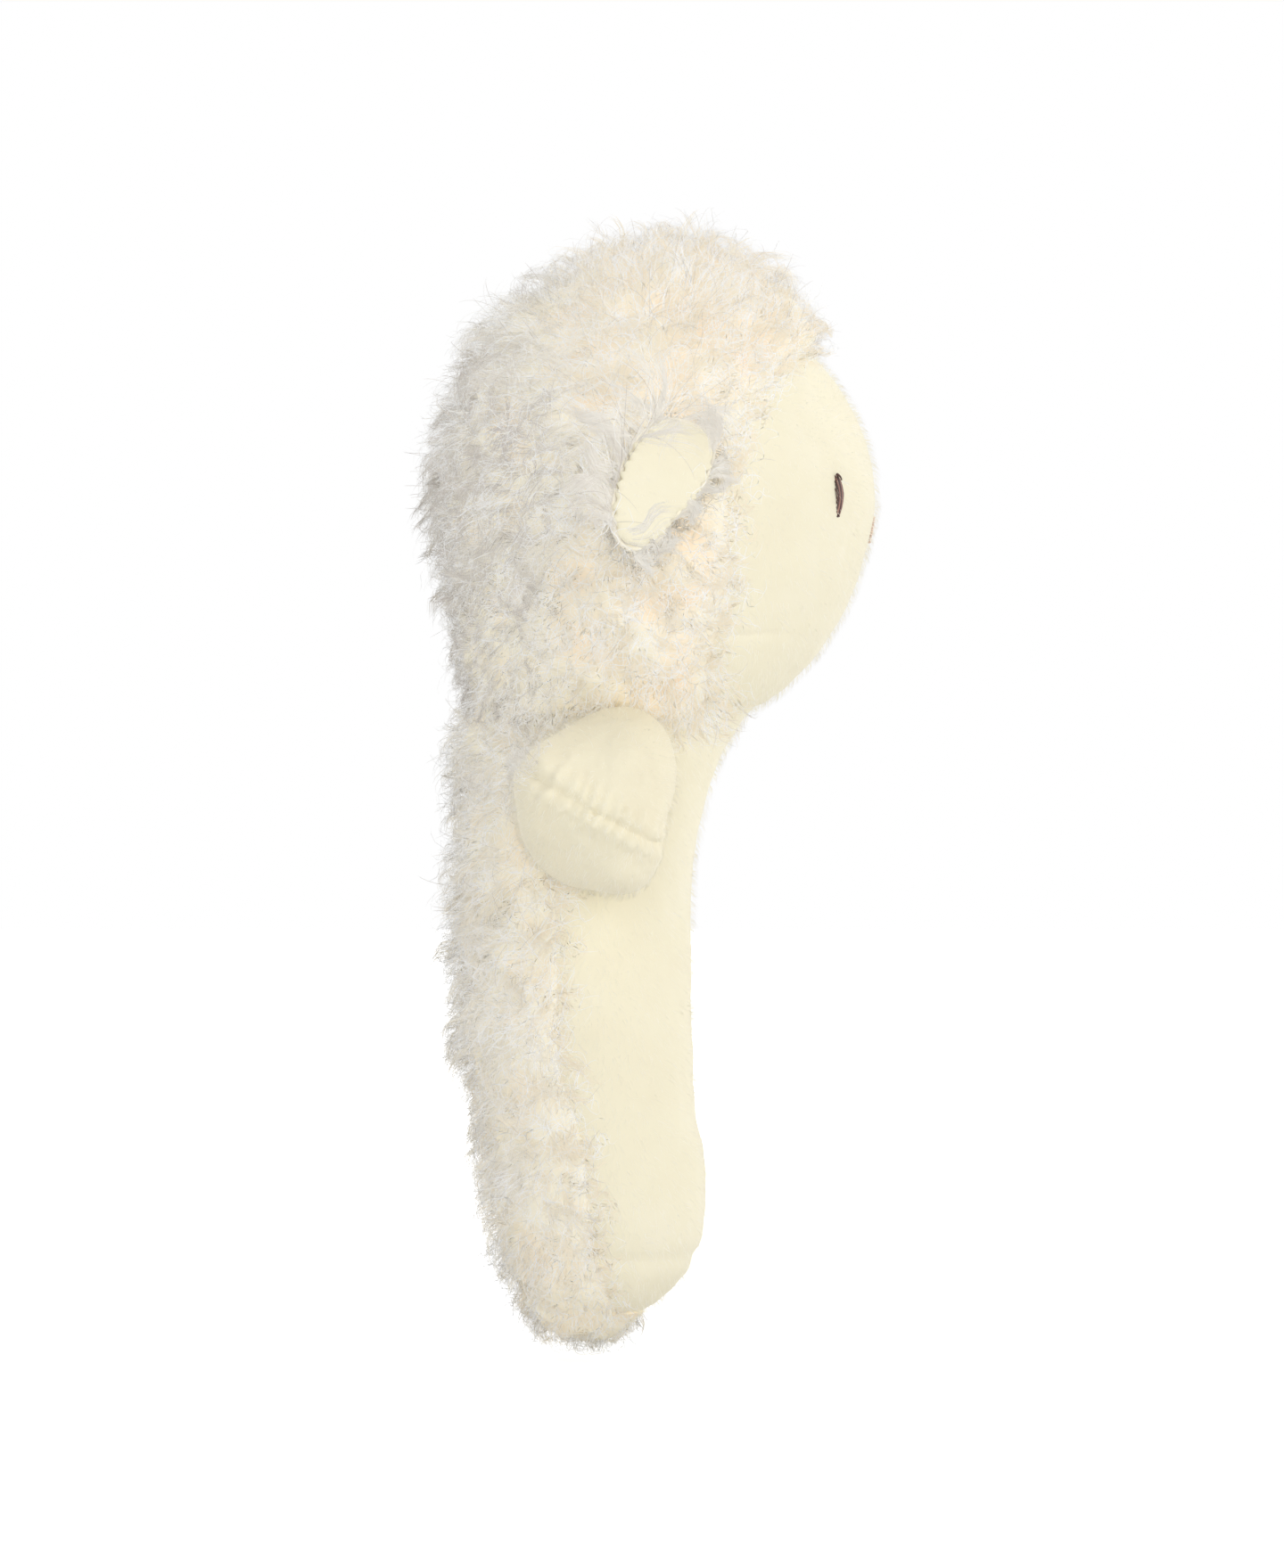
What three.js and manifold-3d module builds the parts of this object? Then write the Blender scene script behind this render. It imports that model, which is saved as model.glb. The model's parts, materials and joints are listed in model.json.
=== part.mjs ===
import * as THREE from "three";
import { mergeVertices } from "three/addons/utils/BufferGeometryUtils.js";
import Module from "manifold-3d";

// A plush lamb on a hand-held stick, with a rattle inside its head.
// Millimetres. +Z is up, +X is the way the face looks and +Y is the lamb's left.
// The origin is the middle of the small flat under the stick's end.

const wasm = await Module();
wasm.setup();

// Cloth and fits
const velour_thickness = 1.6; // backing and short pile
const wool_thickness = 5.0; // backing and curly pile, up to where most of its locks end
const fit_gap = 0.3; // between neighbouring pieces
const cut_overrun = 30; // how far every cutting solid runs past what it cuts
const weld_distance = 0.001;

// Stick: the reaches are those of its stuffing, from the origin's upright
const base_flat_depth = 0.5;
const stick_bottom = wool_thickness + fit_gap - base_flat_depth;
const stick_front_reach = 13.8;
const stick_back_reach = 16.0;
const stick_side_reach = 14.5;
const base_seam_height = 7.8;
const stick_sides = 20;

// Neck: the stick's stuffing ends in a dome that the head nods on
const neck_height = 99;
const nod_drop = 3; // from the neck's seam down to the nodding axis
const nod_height = neck_height - nod_drop;
const neck_dome_radius = 13.6;
const neck_dome_rings = 10;
const nod_angle = THREE.MathUtils.degToRad(10);

// Head: the reaches are those of its stuffing, from the origin's upright
const head_height = 66.5;
const head_top = neck_height + head_height;
const head_front_reach = 42.5;
const head_back_reach = 17.5;
const head_side_reach = 29.5;
const head_sides = 20;

// Rattle capsule: two snapped half shells with loose beads inside
const capsule_radius = 15;
const capsule_wall = 1.4;
const capsule_lip_height = 1.6;
const capsule_lip_wall = 0.8;
const capsule_height_share = 0.512; // of the head's height
const capsule_height = neck_height + capsule_height_share * head_height;
const capsule_reach = (head_front_reach - head_back_reach) / 2;
const capsule_sides = 20;
const capsule_arc_steps = 5;
const bead_radius = 2.5;
const bead_ring_radius = 5.6;
const ring_bead_count = 5;

// Arms: half sizes of the stuffing of one arm, and where it grows out of the stick
const arm_half_width = 10.6;
const arm_half_depth = 12.7;
const arm_length = 26;
const arm_root_reach = 12; // how deep inside the stick the arm's form starts, from the middle
const arm_drop = 11; // from the neck's seam down to the arm's axis
const arm_height = neck_height - arm_drop;
const arm_forward = 0.8;
const arm_seam_tilt = THREE.MathUtils.degToRad(29);
const arm_droop = THREE.MathUtils.degToRad(6);
const arm_swing = THREE.MathUtils.degToRad(20);
const arm_sides = 16;

// Ears: half sizes of a flap, where its middle hangs and how it leans
const ear_half_width = 6.4;
const ear_half_length = 12;
const ear_half_depth = 2.2;
const ear_wool_margin = 1.4; // how far the woolly back reaches past the smooth side
const ear_wool_depth = 3.6;
const ear_forward = 9.6;
const ear_stand_off = 9.1; // from the side of the head's stuffing to the middle of the flap
const ear_out = head_side_reach + ear_stand_off;
const ear_height_share = 0.535; // of the head's height
const ear_height = neck_height + ear_height_share * head_height;
const ear_lean = THREE.MathUtils.degToRad(26);
const ear_sweep = THREE.MathUtils.degToRad(20);
const ear_turn = THREE.MathUtils.degToRad(16);
const ear_flap_out = THREE.MathUtils.degToRad(20);
const ear_flap_in = THREE.MathUtils.degToRad(8);
const ear_sides = 14;
const ear_rings = 8;

// Embroidery on the face
const thread_height = 0.6;
const eye_half_width = 2.0;
const eye_half_height = 3.5;
const eye_spread = 17.4;
const eye_height_share = 0.523; // of the head's height
const eye_height = neck_height + eye_height_share * head_height;
const nose_half_width = 3.2;
const nose_half_height = 1.9;
const nose_height_share = 0.454; // of the head's height
const nose_height = neck_height + nose_height_share * head_height;
const stitch_sides = 12;

// Outlines: each row holds shares of the height, front reach, back reach and side reach
const stick_outline_shares = [
  [0.006, 0.22, 0.19, 0.21],
  [0.025, 0.4, 0.29, 0.38],
  [0.055, 0.57, 0.38, 0.58],
  [0.09, 0.82, 0.48, 0.76],
  [0.13, 1.01, 0.6, 0.9],
  [0.2, 1.14, 0.7, 0.985],
  [0.28, 1.12, 0.76, 1.005],
  [0.37, 1.04, 0.82, 1.0],
  [0.46, 1.0, 0.93, 0.995],
  [0.6, 1.0, 0.99, 1.0],
  [0.745, 1.02, 0.99, 1.005],
  [0.85, 1.13, 0.975, 1.02],
  [0.93, 1.29, 0.99, 1.035],
  [1.0, 1.5, 0.95, 1.075],
  [1.06, 1.62, 0.93, 1.1],
];
const head_outline_shares = [
  [-0.14, 0.4, 0.76, 0.45],
  [-0.02, 0.47, 0.8, 0.49],
  [0.045, 0.57, 0.83, 0.585],
  [0.105, 0.69, 0.87, 0.71],
  [0.165, 0.78, 0.915, 0.807],
  [0.27, 0.885, 0.97, 0.915],
  [0.39, 0.965, 1.0, 0.983],
  [0.52, 1.0, 1.0, 1.0],
  [0.647, 0.97, 0.96, 0.96],
  [0.767, 0.88, 0.8, 0.847],
  [0.865, 0.753, 0.53, 0.68],
  [0.932, 0.62, 0.26, 0.5],
  [0.982, 0.466, -0.2, 0.27],
];
const arm_outline_shares = [
  [0.0, 0.78, 0.78, 0.9],
  [0.22, 0.86, 0.86, 1.0],
  [0.45, 0.95, 0.95, 1.0],
  [0.66, 1.0, 1.0, 0.86],
  [0.82, 0.96, 0.96, 0.62],
  [0.92, 0.84, 0.84, 0.38],
  [0.98, 0.64, 0.64, 0.15],
];

// Seams seen from the side: shares of the head's front reach and of its height over the neck
const face_seam_shares = [
  [1.18, 0.97],
  [0.81, 0.88],
  [0.65, 0.8],
  [0.53, 0.69],
  [0.48, 0.55],
  [0.48, 0.3],
  [0.41, 0.15],
  [0.39, 0.0],
  [0.39, -0.2],
];
// Shares of the stick's front reach and of the height of the neck
const belly_seam_shares = [
  [-0.37, 1.1],
  [-0.37, 0.48],
  [-0.09, 0.34],
  [0.02, 0.2],
  [0.18, 0.11],
  [0.3, -0.05],
];

const cream_velour = new THREE.MeshStandardMaterial({ color: 0xf5eed6, roughness: 0.95, metalness: 0 });
const white_wool = new THREE.MeshStandardMaterial({ color: 0xebe3d6, roughness: 1, metalness: 0 });
const white_fibre = new THREE.MeshStandardMaterial({ color: 0xf4f4f2, roughness: 1, metalness: 0 });
const brown_thread = new THREE.MeshStandardMaterial({ color: 0x4a3128, roughness: 0.5, metalness: 0 });
const tan_thread = new THREE.MeshStandardMaterial({ color: 0xcdb09c, roughness: 0.55, metalness: 0 });
const clear_plastic = new THREE.MeshStandardMaterial({ color: 0xe8eaec, roughness: 0.3, metalness: 0 });
const bead_plastic = new THREE.MeshStandardMaterial({ color: 0xf0d9a8, roughness: 0.4, metalness: 0 });

function welded(geometry) {
  const bare = geometry.clone();
  bare.deleteAttribute("normal");
  bare.deleteAttribute("uv");
  return mergeVertices(bare, weld_distance);
}

function solid(geometry) {
  const merged = welded(geometry);
  const vertProperties = new Float32Array(merged.attributes.position.array);
  const triVerts = new Uint32Array(merged.index.array);
  return new wasm.Manifold(new wasm.Mesh({ numProp: 3, vertProperties, triVerts }));
}

function meshOf(name, body, material) {
  const made = body.getMesh();
  const geometry = new THREE.BufferGeometry();
  geometry.setAttribute("position", new THREE.BufferAttribute(made.vertProperties, 3));
  geometry.setIndex(new THREE.BufferAttribute(made.triVerts, 1));
  geometry.computeVertexNormals();
  const mesh = new THREE.Mesh(geometry, material);
  mesh.name = name;
  return mesh;
}

// A soft form swells and tapers upwards: every ring is an ellipse between its front and its back.
function softForm(rings, bottom, top, sides) {
  const unit_rings = rings.map(() => new THREE.Vector2(1, 0));
  const lathe = new THREE.LatheGeometry([new THREE.Vector2(), ...unit_rings, new THREE.Vector2()], sides);
  lathe.rotateX(Math.PI / 2);
  const first = rings[0];
  const last = rings[rings.length - 1];
  const lower_pole = { height: bottom, front: first.front, back: first.back, side: 0 };
  const upper_pole = { height: top, front: last.front, back: last.back, side: 0 };
  const rows = [lower_pole, ...rings, upper_pole];
  const place = lathe.attributes.position;
  for (let i = 0; i < place.count; i++) {
    const row = rows[i % rows.length];
    const middle = (row.front - row.back) / 2;
    const half_length = (row.front + row.back) / 2;
    place.setXYZ(i, middle + place.getX(i) * half_length, place.getY(i) * row.side, row.height);
  }
  return welded(lathe);
}

function ringsFrom(shares, low, high, front_reach, back_reach, side_reach) {
  return shares.map(([height_share, front_share, back_share, side_share]) => ({
    height: low + height_share * (high - low),
    front: front_share * front_reach,
    back: back_share * back_reach,
    side: side_share * side_reach,
  }));
}

// The same form with its surface moved out by a distance.
function grown(form, distance) {
  const bigger = form.clone();
  bigger.computeVertexNormals();
  const place = bigger.attributes.position;
  const normal = bigger.attributes.normal;
  for (let i = 0; i < place.count; i++) {
    place.setXYZ(
      i,
      place.getX(i) + normal.getX(i) * distance,
      place.getY(i) + normal.getY(i) * distance,
      place.getZ(i) + normal.getZ(i) * distance,
    );
  }
  return bigger;
}

function shell(form, thickness) {
  return solid(grown(form, fit_gap + thickness)).subtract(solid(grown(form, fit_gap)));
}

// A block that fills all that lies in front of a seam drawn on the side view.
function inFrontOf(seam_points, gap) {
  const reach = head_front_reach + cut_overrun;
  const outline = new THREE.Shape();
  const [first, ...others] = seam_points;
  outline.moveTo(first.x - gap, first.y);
  others.forEach((point) => outline.lineTo(point.x - gap, point.y));
  outline.lineTo(reach, others[others.length - 1].y);
  outline.lineTo(reach, first.y);
  const width = reach + reach;
  const block = new THREE.ExtrudeGeometry(outline, { depth: width, bevelEnabled: false });
  block.rotateX(Math.PI / 2);
  block.translate(0, reach, 0);
  return solid(block);
}

// A block wider than the toy, between two heights.
function layer(low, high) {
  const width = (head_front_reach + cut_overrun) * 2;
  const block = new THREE.BoxGeometry(width, width, high - low);
  block.translate(0, 0, (low + high) / 2);
  return solid(block);
}

function turned(body, pivot, axis, angle) {
  const matrix = new THREE.Matrix4().makeTranslation(pivot);
  matrix.multiply(new THREE.Matrix4().makeRotationAxis(axis, angle));
  matrix.multiply(new THREE.Matrix4().makeTranslation(pivot.clone().negate()));
  return body.transform(matrix.elements);
}

// All that a fixed body covers, as seen from a piece that swings between two angles.
function swept(body, pivot, axis, low_angle, high_angle) {
  const middle_angle = (low_angle + high_angle) / 2;
  return [low_angle, middle_angle, high_angle, 0]
    .map((angle) => turned(body, pivot, axis, -angle))
    .reduce((all, one) => all.add(one));
}

const above_neck = layer(neck_height, head_top + cut_overrun);
const stick_form = softForm(
  ringsFrom(
    stick_outline_shares,
    stick_bottom,
    neck_height,
    stick_front_reach,
    stick_back_reach,
    stick_side_reach,
  ),
  stick_bottom,
  neck_height + neck_dome_radius,
  stick_sides,
);
const head_form = softForm(
  ringsFrom(head_outline_shares, neck_height, head_top, head_front_reach, head_back_reach, head_side_reach),
  nod_height - neck_dome_radius,
  head_top,
  head_sides,
);

// The ball that the head nods on, grown by a gap.
function neckBall(gap) {
  const ball = new THREE.SphereGeometry(neck_dome_radius + gap, stick_sides, neck_dome_rings);
  ball.rotateX(Math.PI / 2);
  ball.translate(0, 0, nod_height);
  return ball;
}

// The space under the head: the ball's hollow and a cone that opens by the nod angle.
function underHead() {
  const reach = head_front_reach + cut_overrun;
  const rise = reach * Math.tan(nod_angle);
  const cone_top = neck_height + fit_gap;
  const profile = [
    new THREE.Vector2(0, -cut_overrun),
    new THREE.Vector2(reach, -cut_overrun),
    new THREE.Vector2(reach, cone_top + rise),
    new THREE.Vector2(0, cone_top),
  ];
  const cone = new THREE.LatheGeometry(profile, stick_sides);
  cone.rotateX(Math.PI / 2);
  return solid(cone).add(solid(neckBall(fit_gap)));
}

function bellySeam() {
  return belly_seam_shares.map(
    ([x_share, z_share]) => new THREE.Vector2(x_share * stick_front_reach, z_share * neck_height),
  );
}

// The stick with its skins, filled and grown by a gap: wool behind the seam and velour before it.
function stickEnvelope() {
  const velour = solid(grown(stick_form, fit_gap + velour_thickness + fit_gap));
  const wool = solid(grown(stick_form, fit_gap + wool_thickness + fit_gap));
  return wool.subtract(inFrontOf(bellySeam(), 0)).add(velour);
}

function stickPieces() {
  const seam = bellySeam();
  const velour = shell(stick_form, velour_thickness);
  const wool = shell(stick_form, wool_thickness);
  const below_base_seam = layer(-cut_overrun, base_seam_height);
  const below_base_edge = layer(-cut_overrun, base_seam_height - fit_gap);
  const below_ground = layer(-cut_overrun, 0);
  const front = velour.intersect(inFrontOf(seam, 0)).subtract(above_neck).subtract(below_base_seam);
  const back = wool.subtract(inFrontOf(seam, fit_gap)).subtract(above_neck).subtract(below_base_seam);
  const base = wool.intersect(below_base_edge).subtract(below_ground);
  const stuffing = solid(stick_form).subtract(above_neck).add(solid(neckBall(0)));
  const group = new THREE.Group();
  group.add(
    meshOf("stick_front_panel", front, cream_velour),
    meshOf("stick_back_panel", back, white_wool),
    meshOf("stick_base_panel", base, white_wool),
    meshOf("stick_stuffing", stuffing, white_fibre),
  );
  return group;
}

function capsulePocket() {
  const ball = new THREE.SphereGeometry(capsule_radius + fit_gap, capsule_sides, capsule_sides / 2);
  ball.rotateX(Math.PI / 2);
  ball.translate(capsule_reach, 0, capsule_height);
  return solid(ball);
}

function headPieces() {
  const seam = face_seam_shares.map(
    ([x_share, z_share]) =>
      new THREE.Vector2(x_share * head_front_reach, neck_height + z_share * head_height),
  );
  const under = underHead();
  const face = shell(head_form, velour_thickness).intersect(inFrontOf(seam, 0)).subtract(under);
  const wool = shell(head_form, wool_thickness).subtract(inFrontOf(seam, fit_gap)).subtract(under);
  const fill = solid(head_form).subtract(under).subtract(capsulePocket());
  const parting = [
    new THREE.Vector2(capsule_reach, head_top + cut_overrun),
    new THREE.Vector2(capsule_reach, -cut_overrun),
  ];
  const group = new THREE.Group();
  group.add(
    meshOf("head_face_panel", face, cream_velour),
    meshOf("head_wool_panel", wool, white_wool),
    meshOf("head_front_stuffing", fill.intersect(inFrontOf(parting, 0)), white_fibre),
    meshOf("head_back_stuffing", fill.subtract(inFrontOf(parting, fit_gap)), white_fibre),
  );
  return group;
}

// Points of an arc about the capsule's middle, from its rim to its pole.
function arcPoints(radius) {
  const points = [];
  for (let step = 0; step <= capsule_arc_steps; step++) {
    const angle = (step / capsule_arc_steps) * (Math.PI / 2);
    const across = step === capsule_arc_steps ? 0 : radius * Math.cos(angle);
    points.push(new THREE.Vector2(across, radius * Math.sin(angle)));
  }
  return points;
}

function capsuleShell(name, has_lip) {
  const inner_radius = capsule_radius - capsule_wall;
  const lip_outside = inner_radius - fit_gap;
  const lip_inside = lip_outside - capsule_lip_wall;
  const outer_arc = arcPoints(capsule_radius);
  const inner_arc = arcPoints(has_lip ? lip_inside : inner_radius).reverse();
  const rim = has_lip
    ? [
        new THREE.Vector2(lip_inside, -capsule_lip_height),
        new THREE.Vector2(lip_outside, -capsule_lip_height),
        new THREE.Vector2(lip_outside, 0),
      ]
    : [];
  const shell_geometry = new THREE.LatheGeometry([...outer_arc, ...inner_arc, ...rim, outer_arc[0]], capsule_sides);
  shell_geometry.rotateX(has_lip ? -Math.PI / 2 : Math.PI / 2);
  const half_gap = fit_gap / 2;
  shell_geometry.translate(0, 0, has_lip ? -half_gap : half_gap);
  return meshOf(name, solid(shell_geometry), clear_plastic);
}

function bead(name, across, angle) {
  const floor_radius = capsule_radius - capsule_wall - fit_gap - capsule_lip_wall - fit_gap - bead_radius;
  const mesh = new THREE.Mesh(new THREE.IcosahedronGeometry(bead_radius, 1), bead_plastic);
  mesh.name = name;
  mesh.position.set(
    across * Math.cos(angle),
    across * Math.sin(angle),
    -Math.sqrt(floor_radius * floor_radius - across * across),
  );
  return mesh;
}

function rattle() {
  const group = new THREE.Group();
  group.position.set(capsule_reach, 0, capsule_height);
  group.add(capsuleShell("rattle_capsule_upper", false), capsuleShell("rattle_capsule_lower", true));
  group.add(bead("rattle_bead_1", 0, 0));
  for (let i = 0; i < ring_bead_count; i++) {
    group.add(bead(`rattle_bead_${i + 2}`, bead_ring_radius, (i / ring_bead_count) * Math.PI * 2));
  }
  return group;
}

// An arm lies along its own +Z until it is tilted to its seam, drooped and put on its side.
function armForm(side) {
  const form = softForm(
    ringsFrom(arm_outline_shares, 0, arm_length, arm_half_width, arm_half_width, arm_half_depth),
    0,
    arm_length,
    arm_sides,
  );
  form.rotateX((-side * Math.PI) / 2);
  return form;
}

function placedArm(body, side) {
  const matrix = new THREE.Matrix4().makeTranslation(arm_forward, side * arm_root_reach, arm_height);
  matrix.multiply(new THREE.Matrix4().makeRotationX(-side * arm_droop));
  matrix.multiply(new THREE.Matrix4().makeRotationY(arm_seam_tilt));
  return body.transform(matrix.elements);
}

function arm(side, name) {
  const reach = arm_length + cut_overrun;
  const slab = new THREE.BoxGeometry(reach * 2, reach * 2, reach);
  slab.translate(0, 0, (reach + fit_gap) / 2);
  const above_seam = solid(slab);
  const below_seam = above_seam.transform(new THREE.Matrix4().makeScale(1, 1, -1).elements);
  const form = armForm(side);
  const skin = shell(form, velour_thickness);
  const shoulder = new THREE.Vector3(arm_forward, side * (stick_side_reach + velour_thickness), arm_height);
  const stick_space = swept(stickEnvelope(), shoulder, new THREE.Vector3(0, 0, 1), -arm_swing, arm_swing);
  const group = new THREE.Group();
  group.add(
    meshOf(
      `${name}_upper_panel`,
      placedArm(skin.intersect(above_seam), side).subtract(stick_space),
      cream_velour,
    ),
    meshOf(
      `${name}_lower_panel`,
      placedArm(skin.intersect(below_seam), side).subtract(stick_space),
      cream_velour,
    ),
    meshOf(`${name}_stuffing`, placedArm(solid(form), side).subtract(stick_space), white_fibre),
  );
  return group;
}

function earPlacement(side) {
  const matrix = new THREE.Matrix4().makeTranslation(ear_forward, side * ear_out, ear_height);
  matrix.multiply(new THREE.Matrix4().makeRotationY(ear_sweep));
  matrix.multiply(new THREE.Matrix4().makeRotationX(side * ear_lean));
  matrix.multiply(new THREE.Matrix4().makeRotationZ(-side * ear_turn));
  return matrix;
}

function earHalf(half_width, half_depth, half_length, outward) {
  const flap = new THREE.SphereGeometry(1, ear_sides, ear_rings);
  flap.rotateX(Math.PI / 2);
  flap.scale(half_width, half_depth, half_length);
  const reach = half_length + cut_overrun;
  const slab = new THREE.BoxGeometry(reach, reach, reach);
  slab.translate(0, (outward * (reach + fit_gap)) / 2, 0);
  return solid(flap).intersect(solid(slab));
}

function ear(side, name) {
  const placement = earPlacement(side);
  const hinge = new THREE.Vector3(0, 0, ear_half_length).applyMatrix4(placement);
  const axis = new THREE.Vector3(side, 0, 0).transformDirection(placement);
  const head_skin = solid(grown(head_form, fit_gap + wool_thickness + fit_gap));
  const head_space = swept(head_skin, hinge, axis, -ear_flap_in, ear_flap_out);
  const smooth = earHalf(ear_half_width, ear_half_depth, ear_half_length, side);
  const woolly = earHalf(
    ear_half_width + ear_wool_margin,
    ear_wool_depth,
    ear_half_length + ear_wool_margin,
    -side,
  );
  const group = new THREE.Group();
  group.add(
    meshOf(`${name}_inner_panel`, smooth.transform(placement.elements).subtract(head_space), cream_velour),
    meshOf(`${name}_outer_panel`, woolly.transform(placement.elements).subtract(head_space), white_wool),
  );
  return group;
}

// A patch of thread that follows the face: an oval column cut down to a layer over the velour.
function stitchedOval(name, half_width, half_height, y, z, material) {
  const column = new THREE.CylinderGeometry(1, 1, 1, stitch_sides);
  column.rotateZ(Math.PI / 2);
  column.scale(head_front_reach + cut_overrun, half_width, half_height);
  column.translate((head_front_reach + cut_overrun) / 2, y, z);
  const face_surface = fit_gap + velour_thickness + fit_gap;
  const layer_on_face = solid(grown(head_form, face_surface + thread_height)).subtract(
    solid(grown(head_form, face_surface)),
  );
  return meshOf(name, solid(column).intersect(layer_on_face), material);
}

function face() {
  const group = new THREE.Group();
  group.add(
    stitchedOval("right_eye", eye_half_width, eye_half_height, -eye_spread, eye_height, brown_thread),
    stitchedOval("left_eye", eye_half_width, eye_half_height, eye_spread, eye_height, brown_thread),
    stitchedOval("nose", nose_half_width, nose_half_height, 0, nose_height, tan_thread),
  );
  return group;
}

const group = new THREE.Group();
group.add(stickPieces(), headPieces(), rattle(), face());
group.add(arm(-1, "right_arm"), arm(1, "left_arm"));
group.add(ear(-1, "right_ear"), ear(1, "left_ear"));

export default group;
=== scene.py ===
import json
import math

import bpy
import numpy as np
from mathutils import Matrix, Vector
from mathutils.kdtree import KDTree

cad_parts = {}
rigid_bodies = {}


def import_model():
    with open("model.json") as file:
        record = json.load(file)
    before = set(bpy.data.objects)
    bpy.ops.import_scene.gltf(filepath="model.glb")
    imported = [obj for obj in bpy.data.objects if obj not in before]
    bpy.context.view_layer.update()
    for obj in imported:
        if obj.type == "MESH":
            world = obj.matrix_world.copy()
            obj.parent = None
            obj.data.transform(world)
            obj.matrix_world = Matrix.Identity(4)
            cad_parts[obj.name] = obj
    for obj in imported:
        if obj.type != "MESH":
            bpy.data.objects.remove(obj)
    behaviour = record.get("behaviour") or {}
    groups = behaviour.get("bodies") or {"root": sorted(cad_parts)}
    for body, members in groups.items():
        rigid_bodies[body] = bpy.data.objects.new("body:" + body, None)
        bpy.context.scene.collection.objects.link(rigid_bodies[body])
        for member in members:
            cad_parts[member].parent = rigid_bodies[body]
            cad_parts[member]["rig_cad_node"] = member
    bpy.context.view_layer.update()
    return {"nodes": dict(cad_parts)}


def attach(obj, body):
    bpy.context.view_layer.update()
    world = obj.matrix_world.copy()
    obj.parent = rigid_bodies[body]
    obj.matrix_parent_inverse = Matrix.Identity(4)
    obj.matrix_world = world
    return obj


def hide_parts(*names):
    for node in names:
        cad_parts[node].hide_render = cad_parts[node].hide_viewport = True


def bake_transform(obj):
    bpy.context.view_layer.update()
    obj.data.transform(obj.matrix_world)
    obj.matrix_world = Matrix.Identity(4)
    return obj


# A plush lamb on a hand-held stick. Sizes are in millimetres until a mesh is made.
# +Z is up, +X is the way the face looks and +Y is the lamb's left.

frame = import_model()

MM = 0.001
RIGHT = -1
LEFT = 1
SIDES = ((RIGHT, "right"), (LEFT, "left"))
whole_turn = 2 * math.pi

# Cloth
velour_backing = 1.45
panel_backing = velour_backing - 0.1
wool_backing = 1.5
base_backing = wool_backing - 0.3
skin_inside = 0.3
least_cloth = 0.2
seam_overlap = 0.7

# Stick
stick_bottom = 4.8
neck_height = 99.0
stick_front_reach = 13.8
stick_back_reach = 16.0
stick_side_reach = 14.5
base_seam_height = 7.8
base_seam_overlap = 0.6
crease_height = 16.2

# Head
head_height = 66.5
head_top = neck_height + head_height
head_front_reach = 42.5
head_back_reach = 17.5
head_side_reach = 29.5
dart_height = 112.6
dart_middle = 19.9
filling_split = 12.5
filling_gap = 0.3

# Arms
arm_half_width = 10.6
arm_half_depth = 12.7
arm_length = 26.0
arm_root_reach = 12.0
arm_height = 88.0
arm_forward = 0.8
arm_seam_tilt = math.radians(29)
arm_droop = math.radians(6)
arm_tuft_back = 10.6
arm_tuft_height = 93.0

# Ears, and the middle of the painted shade in the wool round each
ear_half_width = 6.4
ear_half_length = 12.0
ear_thickness = 2.1
ear_cup = 1.2
ear_forward = 9.6
ear_out = 38.6
ear_height = 134.5775
ear_lean = math.radians(26)
ear_sweep = math.radians(20)
ear_turn = math.radians(16)
ear_shade_back = 3.0
ear_shade_height = 138.0

# Embroidery
eye_spread = 17.4
eye_height = 133.8
eye_half_width = 0.62
eye_half_height = 3.6
eye_thread = 0.17
eye_padding_thread = 0.2
eye_loop_thread = 0.15
nose_height = 129.2
nose_half_width = 3.2
nose_half_height = 1.9
nose_thread = 0.18

# Where the pile ends at the neck and at an arm's root
head_wool_low = neck_height - 1
face_nap_low = neck_height - 3
stick_pile_high = neck_height + 2
arm_nap_near = 15.5

# Rows hold shares of the height, front reach, back reach and side reach.
STICK_SHARES = [
    (0.006, 0.22, 0.19, 0.21), (0.025, 0.42, 0.29, 0.38), (0.055, 0.65, 0.38, 0.58),
    (0.09, 0.9, 0.48, 0.76), (0.13, 1.08, 0.6, 0.9), (0.2, 1.17, 0.7, 0.985),
    (0.28, 1.14, 0.76, 1.005), (0.37, 1.07, 0.82, 1.0), (0.46, 1.03, 0.93, 0.995),
    (0.6, 1.0, 0.99, 1.0), (0.745, 1.02, 0.99, 1.005), (0.85, 1.13, 0.975, 1.02),
    (0.93, 1.29, 0.99, 1.035), (1.0, 1.53, 0.95, 1.09), (1.06, 1.88, 0.93, 1.25),
]
HEAD_SHARES = [
    (-0.14, 0.4, 0.76, 0.45), (-0.02, 0.47, 0.8, 0.49), (0.045, 0.57, 0.83, 0.585),
    (0.105, 0.69, 0.87, 0.71), (0.165, 0.78, 0.915, 0.807), (0.27, 0.885, 0.97, 0.915),
    (0.39, 0.965, 1.0, 0.983), (0.52, 1.0, 1.0, 1.0), (0.647, 0.97, 0.96, 0.96),
    (0.767, 0.88, 0.8, 0.847), (0.865, 0.753, 0.53, 0.68), (0.932, 0.62, 0.26, 0.5),
    (0.982, 0.466, -0.2, 0.27),
]
ARM_SHARES = [
    (-0.24, 0.56, 0.56, 0.76), (0.0, 0.78, 0.78, 0.9), (0.22, 0.86, 0.86, 1.0), (0.45, 0.95, 0.95, 1.0),
    (0.66, 1.0, 1.0, 0.86), (0.82, 0.96, 0.96, 0.62), (0.92, 0.84, 0.84, 0.38), (0.98, 0.64, 0.64, 0.15),
]
# Bulges and hollows of an arm: the turn where each stands, its width in degrees and its height.
ARM_BULGES = [(-30, 24, 2.0), (14, 26, -1.2), (181, 20, 1.3), (93, 30, 2.0), (262, 34, -1.2)]
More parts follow.
